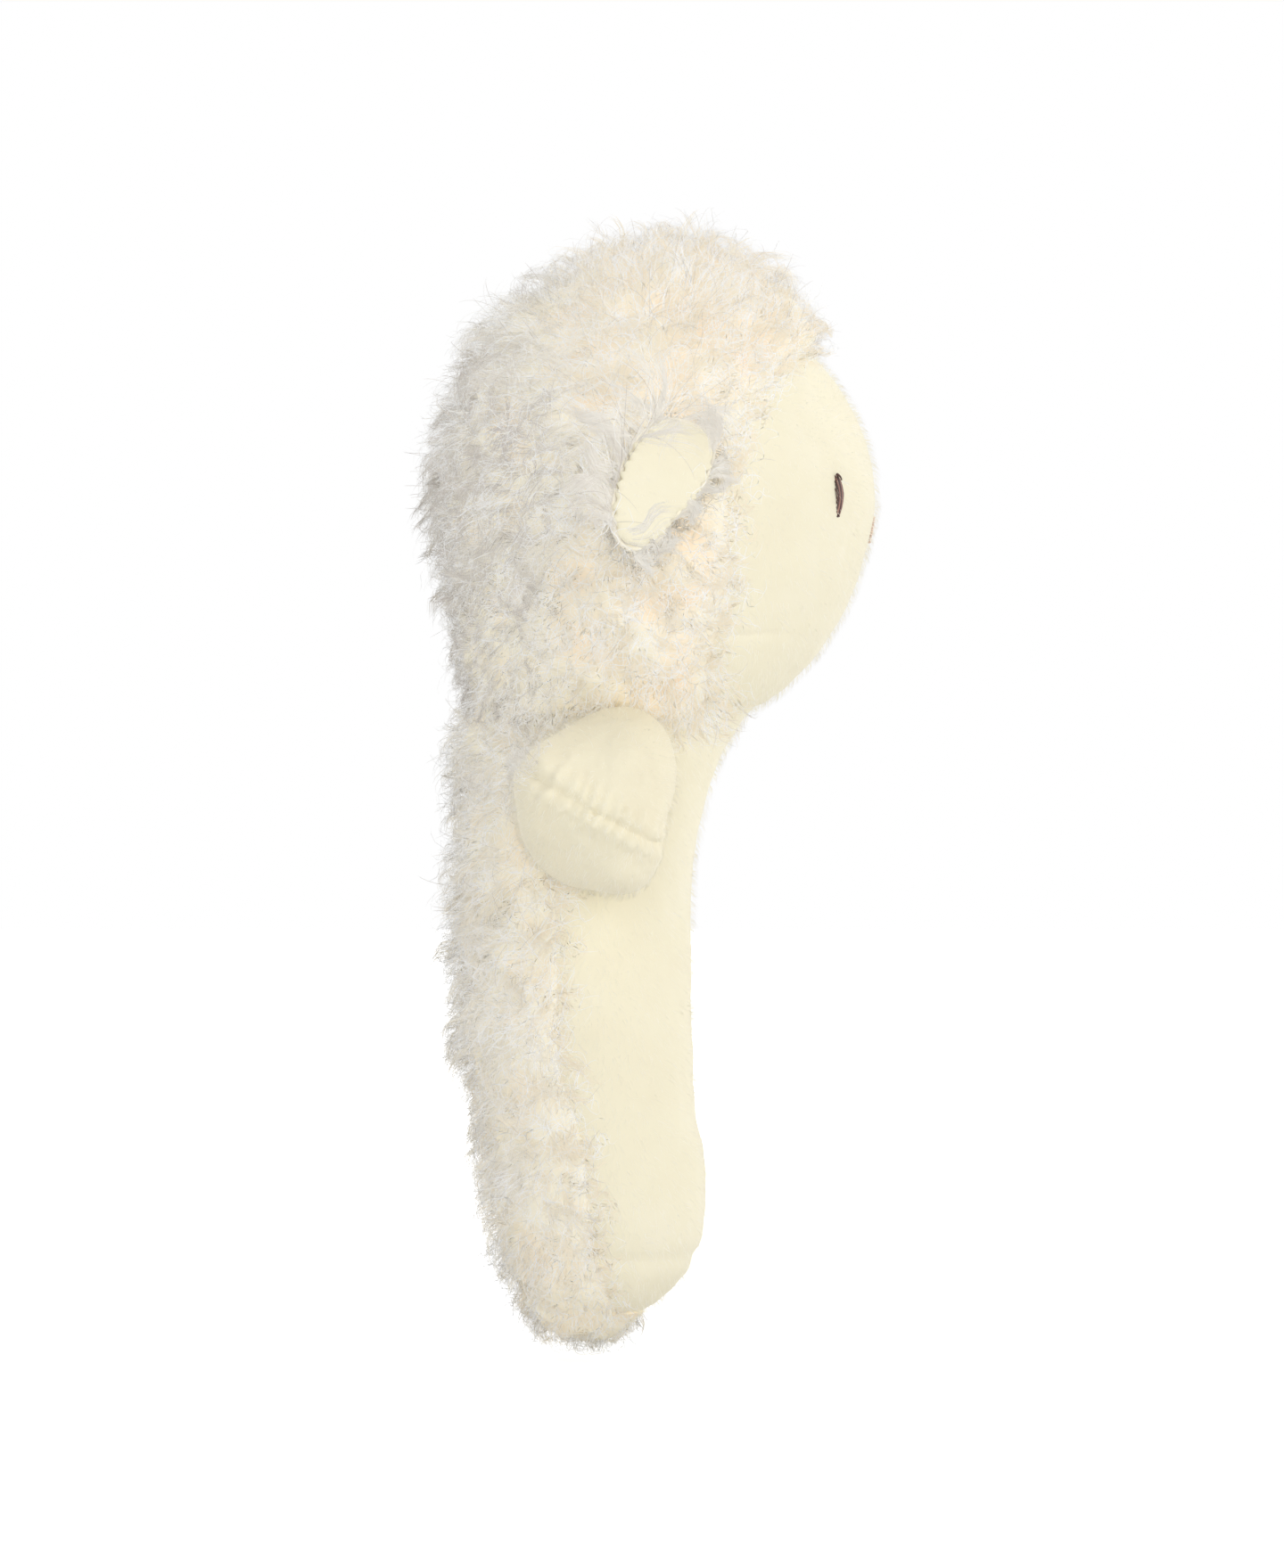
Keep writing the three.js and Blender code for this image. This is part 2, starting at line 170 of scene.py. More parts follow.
# Seams drawn on the side view: x and z in millimetres.
FACE_SEAM = [(16.6, 80.0), (16.6, 99.0), (17.4, 109.0), (20.4, 119.0), (20.4, 135.6),
             (22.5, 144.9), (27.6, 152.2), (34.4, 157.5), (50.1, 163.5), (80.0, 175.0)]
BELLY_SEAM = [(4.1, -5.0), (2.5, 10.9), (0.3, 19.8), (-1.2, 33.7), (-5.1, 47.5), (-5.1, 120.0)]

# Fibres: their density, size, curl and the share that shades the cloth
wool_per_mm2 = 2.2
seam_wool_per_mm2 = 6.0
fringe_per_mm2 = 20.0
ear_wool_per_mm2 = 3.0
glint_per_mm2 = 1.0
nap_per_mm2 = 1.5
arm_nap_per_mm2 = 1.8
wool_radius = 0.04
glint_radius = 0.05
stray_root_radius = 0.036
stray_tip_radius = 0.02
nap_root_radius = 0.032
nap_tip_radius = 0.02
wool_sunk = 0.4
nap_sunk = 0.15
wool_curl = 1.6
wool_steps = 7
head_wool_length = 5.2
stick_wool_length = 4.8
seam_wool_length = 3.6
base_wool_length = 2.6
arm_tuft_length = 3.4
ear_wool_length = 4.5
short_fringe = 2.8
long_fringe = 12.8
nap_length = 1.9
arm_nap_length = 1.7
ear_nap_length = 1.1
wool_shading_share = 0.15
fringe_shading_share = 0.08
wool_upward = 0.9
nap_upward = 0.25
spill = 5.5
ground_clearance = 0.15
# The part's files keep this many triangles at most in one piece.
piece_triangles = 190000

rng = np.random.default_rng(23)


# Numbers and noise

def unit(vectors):
    length = np.linalg.norm(vectors, axis=-1, keepdims=True)
    return vectors / np.maximum(length, 1e-9)


def smooth(low, high, value):
    t = np.clip((value - low) / (high - low), 0, 1)
    return t * t * (3 - 2 * t)


def hump(value, width):
    """1 where the value is 0, fading out on both sides."""
    return np.exp(-(value / width) ** 2)


noise_order = rng.permutation(256)
noise_slopes = unit(rng.normal(size=(256, 3)))


def noise(points, size, shift=0.0):
    """Smooth noise from about -1 to 1, whose lumps are about the given size."""
    place = np.asarray(points, float) / size + shift * 17.31
    cell = np.floor(place).astype(int)
    inside = place - cell
    ease = inside ** 3 * (inside * (inside * 6 - 15) + 10)
    total = 0
    for corner in np.ndindex(2, 2, 2):
        x, y, z = (cell[..., k] + corner[k] for k in range(3))
        key = noise_order[(noise_order[(noise_order[x & 255] + y) & 255] + z) & 255]
        slope = (noise_slopes[key] * (inside - np.array(corner))).sum(-1)
        weight = 1
        for k in range(3):
            weight = weight * (ease[..., k] if corner[k] else 1 - ease[..., k])
        total = total + weight * slope
    return total * 1.6


def noise_vector(points, size, shift=0.0):
    return np.stack([noise(points, size, shift + 3.7 * k) for k in range(3)], -1)


def spline(rows, count):
    """A smooth line of count points through rows[1:-1], which keep the outer two as guides."""
    rows = np.array(rows, float)
    along = np.concatenate([[0], np.cumsum(np.linalg.norm(np.diff(rows, axis=0), axis=1))])
    steep = np.diff(rows, axis=0) / np.diff(along)[:, None]
    slope = np.pad((steep[:-1] + steep[1:]) / 2, ((1, 1), (0, 0)))
    at = np.linspace(along[1], along[-2], count)
    index = np.clip(np.searchsorted(along, at, "right") - 1, 1, len(rows) - 3)
    step = (along[index + 1] - along[index])[:, None]
    t = ((at - along[index])[:, None]) / step
    return (
        rows[index] * (2 * t ** 3 - 3 * t ** 2 + 1)
        + slope[index] * step * (t ** 3 - 2 * t ** 2 + t)
        + rows[index + 1] * (3 * t ** 2 - 2 * t ** 3)
        + slope[index + 1] * step * (t ** 3 - t ** 2)
    )


# Forms: every level is an ellipse between a front and a back

def levels(rows, low, height, reaches, count, closed_low, closed_high):
    """Rows of height, middle, half length and half width, evenly spaced along the surface. closed_low and
    closed_high are the heights of the poles, or None at an open end."""
    front, back, side = reaches
    made = []
    for share, front_share, back_share, side_share in rows:
        ahead = front_share * front
        behind = back_share * back
        made.append((low + share * height, (ahead - behind) / 2, (ahead + behind) / 2, side_share * side))
    # Turned round twice: the low end is the last row the first time, and the high end the second.
    for pole in (closed_low, closed_high):
        made = made[::-1]
        end, near_end = np.array(made[-1]), np.array(made[-2])
        if pole is None:
            made += [2 * end - near_end]
        else:
            made += [(pole, end[1], 0.0, 0.0), (end[0], end[1], -end[2], -end[3])]
    return spline(made, count)


def surface(level_rows, turn_low, turn_high, columns):
    """Points of a form from one turn angle to another, for each level. Angle 0 is the front."""
    share = np.linspace(0, 1, columns)[None, :]
    turn = turn_low[:, None] * (1 - share) + turn_high[:, None] * share
    height, middle, length, width = (level_rows[:, k, None] for k in range(4))
    x = middle + length * np.cos(turn)
    y = width * np.sin(turn)
    points = np.stack([x, y, np.broadcast_to(height, x.shape)], -1)
    level_step = np.gradient(level_rows, axis=0)
    rise, mid_rise, length_rise, width_rise = (level_step[:, k, None] for k in range(4))
    # A level of no width has no normal, so it takes that of one a little wider.
    length = np.maximum(length, 0.05)
    width = np.maximum(width, 0.05)
    across = np.stack([-length * np.sin(turn), width * np.cos(turn), 0 * turn], -1)
    up = np.stack(
        [mid_rise + length_rise * np.cos(turn), width_rise * np.sin(turn), rise + 0 * turn], -1
    )
    return points, unit(np.cross(across, up))


def round_surface(level_rows, columns):
    """Points whose columns go all the way round, the last one a step before the first."""
    rows = len(level_rows)
    return surface(level_rows, np.zeros(rows), np.full(rows, whole_turn * (1 - 1 / columns)), columns)


def seam_turn(level_rows, seam):
    """The turn angle at which each level meets a seam of the side view; 0 where it passes in front."""
    seam_x = np.interp(level_rows[:, 0], [z for _, z in seam], [x for x, _ in seam])
    share = (seam_x - level_rows[:, 1]) / np.maximum(level_rows[:, 2], 1e-6)
    return np.arccos(np.clip(share, -1, 1))


# Meshes

def mesh_object(name, points, faces, cloth, uv=None):
    """faces: an array of triangles or of quads. uv: one pair for each point."""
    faces = np.asarray(faces, np.int32)
    mesh = bpy.data.meshes.new(name)
    mesh.vertices.add(len(points))
    mesh.vertices.foreach_set("co", (np.asarray(points) * MM).astype(np.float32).ravel())
    mesh.loops.add(faces.size)
    mesh.loops.foreach_set("vertex_index", faces.ravel())
    mesh.polygons.add(len(faces))
    mesh.polygons.foreach_set("loop_start", np.arange(0, faces.size, faces.shape[1], dtype=np.int32))
    mesh.polygons.foreach_set("use_smooth", np.ones(len(faces), bool))
    if uv is not None:
        layer = mesh.uv_layers.new(name="OFBake")
        layer.data.foreach_set("uv", np.asarray(uv, np.float32)[faces.ravel()].ravel())
    mesh.update(calc_edges=True)
    mesh.validate()
    piece = bpy.data.objects.new(name, mesh)
    bpy.context.scene.collection.objects.link(piece)
    mesh.materials.append(cloth)
    return piece


def add_tone(piece, tone):
    """A value for each point, which the cloth's material reads as its colour variation."""
    layer = piece.data.attributes.new("tone", "FLOAT", "POINT")
    layer.data.foreach_set("value", np.asarray(tone, np.float32).ravel())


def grid_corners(grid):
    """The four corners of each cell of a grid, going round."""
    return grid[:-1, :-1], grid[:-1, 1:], grid[1:, 1:], grid[1:, :-1]


def grid_faces(rows, columns):
    a, b, c, d = grid_corners(np.arange(rows * columns).reshape(rows, columns))
    return np.concatenate([np.stack([a, b, c], -1).reshape(-1, 3), np.stack([a, c, d], -1).reshape(-1, 3)])


def shell_object(name, outer, inner, tone, cloth):
    """A patch with an outer and an inner side, closed round its rim."""
    rows, columns = outer.shape[:2]
    far = rows * columns
    grid = np.arange(far).reshape(rows, columns)
    quads = np.stack(grid_corners(grid), -1).reshape(-1, 4)
    rim = np.concatenate([grid[0], grid[1:, -1], grid[-1, -2::-1], grid[-2:0:-1, 0]])
    after = np.roll(rim, -1)
    edge = np.stack([rim, rim + far, after + far, after], -1)
    points = np.concatenate([outer.reshape(-1, 3), inner.reshape(-1, 3)])
    piece = mesh_object(name, points, np.concatenate([quads, quads[:, ::-1] + far, edge]), cloth)
    # A crisp rim lets two panels side by side shade as one.
    piece.data.set_sharp_from_angle(angle=math.radians(55))
    add_tone(piece, np.concatenate([tone.ravel(), tone.ravel()]))
    return piece


def closed_object(name, grid, tone, cloth):
    """A form whose rows run from pole to pole and whose columns go all the way round."""
    rows, columns = grid.shape[:2]
    low_pole, high_pole = rows * columns, rows * columns + 1
    index = np.arange(rows * columns).reshape(rows, columns)
    right = np.roll(index, -1, axis=1)
    faces = np.stack([index[:-1], right[:-1], right[1:], index[1:]], -1).reshape(-1, 4)
    triangles = np.concatenate([
        faces[:, [0, 1, 2]], faces[:, [0, 2, 3]],
        np.stack([np.full(columns, low_pole), right[0], index[0]], -1),
        np.stack([np.full(columns, high_pole), index[-1], right[-1]], -1),
    ])
    points = np.concatenate([grid.reshape(-1, 3), grid[0].mean(0)[None], grid[-1].mean(0)[None]])
    piece = mesh_object(name, points, triangles, cloth)
    add_tone(piece, np.concatenate([tone.ravel(), [tone[0].mean(), tone[-1].mean()]]))
    return piece


def tube_faces(count, sides, rings, each, start):
    """Triangles of many like tubes of so many points each, whose last ring closes on their last point.
    start: the triangles that close the first ring."""
    faces = list(start)
    for row in range(rings - 1):
        for k in range(sides):
            a, b = row * sides + k, row * sides + (k + 1) % sides
            faces += [(a, b, b + sides), (a, b + sides, a + sides)]
    last = (rings - 1) * sides
    faces += [(last + k, last + (k + 1) % sides, each - 1) for k in range(sides)]
    return (np.array(faces)[None] + (np.arange(count) * each)[:, None, None]).reshape(-1, 3)


def strand_pieces(name, paths, radii, tones, thread, up, setup, shading=0.0, upward=wool_upward):
    """Fibres as one piece or, where there are many, as several numbered ones. Fibres this fine let the
    lamps through to one another and to the cloth under them, so only a share of them shades it. radii:
    those of root and tip. tones: one for each fibre, or None for random ones."""
    count, steps = paths.shape[:2]
    paths = keep_above(paths)
    radii = taper(count, steps, *radii)
    tones = rng.random(count) if tones is None else tones
    piece_fibres = piece_triangles // (6 * steps - 8)
    dense = int(count * shading)
    number = 0
    for first, last, shades in ((0, dense, True), (dense, count, False)):
        if last == first:
            continue
        for chosen in np.array_split(np.arange(first, last), -(-(last - first) // piece_fibres)):
            number += 1
            label = name if count <= piece_fibres and shading == 0 else f"{name}_{number}"
            parts = [values[chosen] for values in (paths, radii, tones, up)]
            piece = strand_object(label, *parts, thread, upward)
            piece.visible_shadow = shades
            piece.visible_diffuse = shades
            setup(piece)


def strand_object(name, paths, radii, tones, up, thread, upward):
    """Fibres as thin closed tapering tubes of three sides, from paths of the same number of points.
    up holds the normals of the cloth under them, which their own rounding is mixed with."""
    count, steps = paths.shape[:2]
    ahead = unit(np.gradient(paths, axis=1))
    # Two corners lie side by side on the outer face and the third behind them.
    outward = up[:, None] + rng.normal(size=(count, 1, 3)) * 0.25
    outward = unit(flat_on(outward, ahead))
    aside = np.cross(ahead, outward)
    ring = np.stack([-aside, aside, -0.5 * outward], 2)
    rings = paths[:, :-1, None] + ring[:, :-1] * radii[:, :-1, None, None]
    points = np.concatenate([rings.reshape(count, -1, 3), paths[:, -1:]], 1)
    each = points.shape[1]
    share = np.repeat(np.arange(steps - 1) / (steps - 1), 3)
    v = np.concatenate([share, [1.0]]) * 0.96 + 0.02
    u = np.concatenate([np.tile([-0.5, 0.0, 0.5], steps - 1), [0.0]]) * 0.014
    uv = np.stack([
        np.clip(tones, 0.01, 0.99)[:, None] * 0.98 + 0.01 + u[None],
        np.broadcast_to(v, (count, each)),
    ], -1)
    faces = tube_faces(count, 3, steps - 1, each, [(0, 2, 1)])
    piece = mesh_object(name, points.reshape(-1, 3), faces, thread, uv.reshape(-1, 2))
    own = np.stack([outward * 0.7 - aside * 0.8, outward * 0.7 + aside * 0.8, -outward], 2)[:, :-1]
    own = np.concatenate([own.reshape(count, -1, 3), outward[:, -1:]], 1)
    lit = unit(up[:, None] * upward + own)
    piece.data.normals_split_custom_set_from_vertices(lit.reshape(-1, 3).astype(np.float32))
    return piece


# Fibres

def scatter(points, normals, faces, weight, per_mm2):
    """Random places on a surface. weight: for each point, how thick the fibres grow there."""
    corner = points[faces]
    area = np.linalg.norm(np.cross(corner[:, 1] - corner[:, 0], corner[:, 2] - corner[:, 0]), axis=1) / 2
    share = area * weight[faces].mean(1)
    count = int(share.sum() * per_mm2)
    pick = rng.choice(len(faces), count, p=share / share.sum())
    a, b = rng.random((2, count, 1))
    flip = (a + b) > 1
    a, b = np.where(flip, 1 - a, a), np.where(flip, 1 - b, b)
    chosen = faces[pick]

    def mix(values):
        return (1 - a - b) * values[chosen[:, 0]] + a * values[chosen[:, 1]] + b * values[chosen[:, 2]]

    return mix(points), unit(mix(normals)), mix(weight[:, None])[:, 0]


def flat_on(direction, normals):
    return direction - (direction * normals).sum(-1, keepdims=True) * normals


def wool_paths(roots, normals, comb, length, lock_share, steps, gather, curl):
    """Curly pile: each fibre leans into the lock of its nearest lock root, and the lock winds as it goes."""
    count = len(roots)
    lock_count = max(4, int(count * lock_share))
    chosen = rng.choice(count, lock_count, replace=False)
    tree = KDTree(lock_count)
    for k, place in enumerate(roots[chosen]):
        tree.insert(place, k)
    tree.balance()
    lock = np.array([tree.find(place)[1] for place in roots])
    lock_root = roots[chosen][lock]
    wander = unit(flat_on(rng.normal(size=(lock_count, 3)), normals[chosen]))[lock]
    heading = unit(flat_on(comb + wander * 0.85, normals))
    side = np.cross(normals, heading)
    phase = rng.uniform(0, whole_turn, lock_count)[lock][:, None]
    winding = (rng.uniform(0.6, 1.35, lock_count) * rng.choice([-1, 1], lock_count))[lock][:, None]
    radius = (rng.uniform(0.5, 1.3, lock_count)[lock] * curl)[:, None]
    lean = rng.uniform(0.2, 0.7, lock_count)[lock][:, None]
    droop = rng.uniform(1.3, 2.5, lock_count)[lock][:, None]
    reach = length * rng.uniform(0.82, 1.12, lock_count)[lock] * rng.uniform(0.8, 1.08, count)
    own = rng.normal(size=(count, 3))
    path = bent_paths(roots, normals * 0.95, heading, reach, lean, droop, steps, ease=1.15)
    for k, s in enumerate(np.linspace(0, 1, steps)):
        wind = phase + winding * 2 * math.pi * s
        offset = (np.cos(wind) - np.cos(phase)) * side + (np.sin(wind) - np.sin(phase)) * normals * 0.5
        path[:, k] += offset * radius * s ** 0.8
        path[:, k] += (lock_root - roots) * (gather * s ** 0.9)
        path[:, k] += own * (0.1 + 0.1 * s) * s
    return path


def bent_paths(roots, upright, heading, reach, lean, droop, steps, ease):
    """Paths that leave the cloth upright but for lean, an angle, and bend over to droop."""
    share = np.linspace(0, 1, steps)
    path = np.empty((len(roots), steps, 3))
    path[:, 0] = roots
    for k in range(1, steps):
        bend = lean + (droop - lean) * ((share[k] + share[k - 1]) / 2) ** ease
        forward = np.cos(bend) * upright + np.sin(bend) * heading
        path[:, k] = path[:, k - 1] + forward * (reach / (steps - 1))[:, None]
    return path


def stray_paths(roots, normals, comb, length, steps):
    """Single hairs that stand out of the pile and hook over."""
    count = len(roots)
    heading = unit(flat_on(comb * 0.5 + rng.normal(size=(count, 3)), normals))
    reach = length * rng.uniform(0.75, 1.25, count)
    lean = rng.uniform(0.0, 0.6, count)[:, None]
    droop = rng.uniform(0.9, 2.8, count)[:, None]
    return bent_paths(roots, normals, heading, reach, lean, droop, steps, ease=1.6)


def nap_paths(roots, normals, comb, length):
    """Short pile, brushed flat in patches."""
    count = len(roots)
    patch = noise_vector(roots, 3.2, 5.0) * 0.7 + noise_vector(roots, 9.0, 6.0) * 0.5
    heading = unit(flat_on(comb + patch + rng.normal(size=(count, 3)) * 0.35, normals))
    reach = (length * rng.uniform(0.7, 1.2, count))[:, None]
    low = roots + (normals * 0.8 + heading * 0.6) * reach * 0.5
    high = low + (normals * 0.45 + heading * 0.85) * reach * 0.5
    return np.stack([roots, low, high], 1)


def taper(count, steps, root_radius, tip_radius):
    line = root_radius + (tip_radius - root_radius) * np.linspace(0, 1, steps) ** 1.3
    return line[None] * rng.uniform(0.75, 1.2, (count, 1))


def keep_above(paths):
    """Presses fibres that would pass through the ground flat on it."""
    low = paths[..., 2]
    soft_top = ground_clearance + 1.5
    paths[..., 2] = np.where(low < soft_top, ground_clearance + 1.5 * np.exp((low - soft_top) / 1.5), low)
    return paths


# Materials

def shaded(owner, output, build):
    """Fills the nodes of a material or a world. build makes the shader with node(kind, inputs, settings),
    whose inputs give each socket a value or the output that feeds it."""
    owner.use_nodes = True
    tree = owner.node_tree
    tree.nodes.clear()

    def node(kind, inputs=None, **settings):
        made = tree.nodes.new("ShaderNode" + kind)
        for key, value in settings.items():
            setattr(made, key, value)
        for key, value in (inputs or {}).items():
            if isinstance(value, bpy.types.NodeSocket):
                tree.links.new(value, made.inputs[key])
            else:
                made.inputs[key].default_value = value
        return made

    node(output, {"Surface": build(node)})
    return owner


def material(name, build):
    return shaded(bpy.data.materials.new(name), "OutputMaterial", build)


def shades(*rows):
    """Stops of a colour ramp as linear light, from rows of a place and the 0 to 255 numbers of a picture."""
    stops = []
    for place, *numbers in rows:
        parts = np.array(numbers) / 255
        stops.append((place, np.where(parts <= 0.04045, parts / 12.92, ((parts + 0.055) / 1.055) ** 2.4)))
    return stops


def ramp(node, stops, source):
    made = node("ValToRGB", {"Fac": source})
    band = made.color_ramp
    while len(band.elements) < len(stops):
        band.elements.new(0.5)
    for element, (place, colour) in zip(band.elements, stops):
        element.position = place
        element.color = (*colour, 1)
    return made.outputs["Color"]


def cloud(node, scale, detail):
    """Soft noise in the piece's own space."""
    place = node("TexCoord").outputs["Object"]
    return node("TexNoise", {"Vector": place, "Scale": scale, "Detail": detail}).outputs["Fac"]


def calculated(node, operation, *values):
    return node("Math", dict(enumerate(values)), operation=operation).outputs[0]


def principled(node, colour, roughness, more=None):
    return node("BsdfPrincipled", {"Base Color": colour, "Roughness": roughness, **(more or {})}).outputs[0]


VELOUR = shades((0.0, 238, 229, 202), (0.5, 243, 236, 210), (1.0, 247, 241, 222))
NAP = shades((0.0, 244, 238, 216), (0.5, 250, 245, 228), (1.0, 254, 251, 242))
EAR_WOOL = shades((0.0, 214, 207, 200), (0.5, 242, 237, 229), (1.0, 254, 251, 244))
# The grey low ends of WOOL and UNDERPILE take painted shade at the back, WOOL's also round the ears;
# UNDERPILE's peach top takes painted warm shade in the hollows of the underpile as well as the creamier
# front.
WOOL = shades((0.0, 215, 208, 201), (0.5, 254, 249, 236), (1.0, 254, 242, 218))
GLINT = shades((0.0, 254, 254, 254), (1.0, 254, 252, 246))
UNDERPILE = shades((0.0, 224, 217, 210), (0.45, 249, 242, 220), (1.0, 253, 233, 204))
STUFFING = shades((0.3, 226, 226, 222), (0.7, 246, 246, 243))
BROWN = shades((0.0, 52, 26, 22), (0.55, 92, 58, 48), (1.0, 176, 130, 116))
TAN = shades((0.0, 206, 170, 146), (0.5, 222, 192, 168), (1.0, 236, 212, 192))
CAPSULE = shades((0.35, 224, 227, 230), (0.65, 236, 238, 240))
BEAD = shades((0.35, 232, 206, 152), (0.65, 242, 220, 172))
FLOOR = [(0.0, (0.8, 0.8, 0.8)), (1.0, (0.84, 0.84, 0.84))]


def velour_cloth(node):
    """The knitted backing and pressed pile between the nap fibres."""
    tone = node("Attribute", attribute_name="tone").outputs["Fac"]
    total = calculated(node, "MULTIPLY_ADD", cloud(node, 210, 4), 0.4, tone)
    colour = ramp(node, VELOUR, calculated(node, "SUBTRACT", total, 0.2))
    return principled(node, colour, 0.95, {
        "Specular IOR Level": 0.0, "Sheen Weight": 0.25, "Sheen Roughness": 0.5})


def wool_cloth(node):
    """The matted underpile at the foot of the locks."""
    tone = node("Attribute", attribute_name="tone").outputs["Fac"]
    total = calculated(node, "MULTIPLY_ADD", cloud(node, 260, 5), 0.5, tone)
    return principled(node, ramp(node, UNDERPILE, total), 1.0, {"Specular IOR Level": 0.0})


def fibre(stops, through, shine):
    """A fibre's colour follows its own map: across is its tone, and up runs from root to tip."""

    def build(node):
        own = node("UVMap", uv_map="OFBake").outputs["UV"]
        parts = node("SeparateXYZ", {0: own}).outputs
        grain = node("TexNoise", {"Vector": own, "Scale": 60, "Detail": 2}).outputs["Fac"]
        tone = calculated(node, "MULTIPLY_ADD", grain, 0.3, parts["X"])
        colour = ramp(node, stops, calculated(node, "MULTIPLY_ADD", parts["Y"], -0.25, tone))
        front = principled(node, colour, 0.55, {"Specular IOR Level": shine})
        back = node("BsdfTranslucent", {"Color": colour}).outputs[0]
        return node("MixShader", {0: through, 1: front, 2: back}).outputs[0]

    return build


def stuffing_cloth(node):
    puff_with_painted_shade = cloud(node, 300, 6)
    bump = node("Bump", {"Strength": 0.8, "Distance": 0.001, "Height": puff_with_painted_shade}).outputs["Normal"]
    # Painted shade: the fibre is darker in the dips of the same noise that bumps it.
    return principled(node, ramp(node, STUFFING, puff_with_painted_shade), 1.0, {"Normal": bump})


def moulded(stops, roughness):
    return lambda node: principled(node, ramp(node, stops, cloud(node, 420, 3)), roughness)


cream_velour = material("cream_velour", velour_cloth)
white_wool = material("white_wool", wool_cloth)
ear_wool_fibre = material("ear_wool_fibre", fibre(EAR_WOOL, 0.5, 0.1))
velour_nap = material("velour_nap", fibre(NAP, 0.2, 0.0))
wool_fibre = material("wool_fibre", fibre(WOOL, 0.2, 0.0))
wool_glint = material("wool_glint", fibre(GLINT, 0.1, 0.5))
polyester_fibre = material("polyester_fibre", stuffing_cloth)
brown_thread = material("brown_thread", fibre(BROWN, 0.02, 0.6))
tan_thread = material("tan_thread", fibre(TAN, 0.05, 0.5))
capsule_plastic = material("capsule_plastic", moulded(CAPSULE, 0.3))
bead_plastic = material("bead_plastic", moulded(BEAD, 0.4))


# Body skins

def cloth_lumps(points, big, small):
    return noise(points, 11.0, 1.0) * big + noise(points, 4.2, 2.0) * small + noise(points, 1.7, 5.0) * 0.07


def tufts(points):
    """Height of the matted underpile: soft heaps a few millimetres across."""
    return 2.2 + 1.5 * noise(points, 6.5, 3.0) + 0.7 * noise(points, 2.6, 4.0)


stick_levels = levels(STICK_SHARES, stick_bottom, neck_height - stick_bottom,
                      (stick_front_reach, stick_back_reach, stick_side_reach),
                      count=190, closed_low=stick_bottom, closed_high=None)
head_levels = levels(HEAD_SHARES, neck_height, head_height,
                     (head_front_reach, head_back_reach, head_side_reach),
                     count=230, closed_low=None, closed_high=head_top)
skins = {}


def keep_skin(name, points, normals):
    skins[name] = (points, normals, grid_faces(*points.shape[:2]))


def heights(name):
    return skins[name][0][..., 2].ravel()


def both_sides(bare, normals, height):
    """The outer and the inner side of a cloth whose outer side stands so high over a form."""
    inside = np.minimum(skin_inside, height - least_cloth)
    return bare + normals * height[..., None], bare + normals * inside[..., None]


def skin_patch(name, level_rows, turn_low, turn_high, columns, backing, pile, tone_of, cloth):
    """A panel of cloth over a form. pile(points, edge) gives its height over the backing; edge is the
    distance to its side seams in millimetres."""
    bare, normals = surface(level_rows, turn_low, turn_high, columns)
    share = np.linspace(0, 1, columns)[None, :]
    width = (turn_high - turn_low)[:, None] * np.maximum(level_rows[:, 2, None], 0.1)
    edge = np.minimum(share, 1 - share) * width
    outer, inner = both_sides(bare, normals, backing + pile(bare, edge))
    keep_skin(name, outer, normals)
    return shell_object(name, outer, inner, tone_of(bare, edge), cloth)


def velour_seam(edge):
    """A faint wide dip and a narrow one at its bottom."""
    return -0.04 * hump(edge, 2.0) - 0.3 * hump(edge, 0.5)


def chin_dart(points):
    """The dart sewn under each cheek, a shallow crease that runs forward from the wool."""
    x, z = points[..., 0], points[..., 2]
    below = z - (dart_height + (x - dart_middle) * 0.09)
    along = smooth(17.0, 21.5, x) * (1 - smooth(26.0, 31.0, x))
    return (-0.28 * hump(below, 0.5) + 0.06 * hump(below + 1.6, 1.3)) * along


def neck_tuck(points):
    """The head's cloth turns in under the stick's at the neck."""
    return -3.2 * smooth(-neck_height - 5, -neck_height + 1.5, -points[..., 2])


def face_pile(points, edge):
    return neck_tuck(points) + cloth_lumps(points, 0.28, 0.14) + velour_seam(edge) + chin_dart(points)


def belly_pile(points, edge):
    x, z = points[..., 0], points[..., 2]
    creases = -0.7 * hump(z - base_seam_height, 1.4) - 0.55 * hump(z - crease_height - 0.03 * x, 1.3)
    return cloth_lumps(points, 0.38, 0.16) + velour_seam(edge) + creases


def wool_pile(points, edge):
    return tufts(points) * smooth(-1.0, 8.0, edge) - 0.28 * hump(edge, 0.4)


def low_poll(back, height):
    """The wool lies closer over the lower half of the head's back."""
    return 0.8 * back * smooth(103, 109, height) * (1 - smooth(124, 133, height))


def head_wool_pile(points, edge):
    """The wool stands highest over the brow, where it makes a fringe."""
    x, z = points[..., 0], points[..., 2]
    brow = smooth(2.0, 16.0, x) * smooth(152.0, 163.0, z)
    back = smooth(0.0, 12.0, -x)
    fringe = (2.4 * brow * (1 - 0.6 * smooth(27.0, 34.0, x)) + 0.5) * smooth(0.0, 8.0, edge)
    poll = (2.0 * back * smooth(151.0, 157.0, z) * (1 - smooth(162.0, 168.0, z))
            + 1.3 * smooth(160.0, 166.0, z) * smooth(-11.0, -3.0, x)
            + 0.8 * back * smooth(128.0, 138.0, z) * (1 - smooth(143.0, 149.0, z)) - low_poll(back, z))
    above_neck = smooth(neck_height - 2, neck_height + 4, z)
    return (wool_pile(points, edge) + fringe + poll) * above_neck + neck_tuck(points)


def velour_tone(points, edge=None):
    return 0.5 + 0.2 * noise(points, 14.0, 7.0)


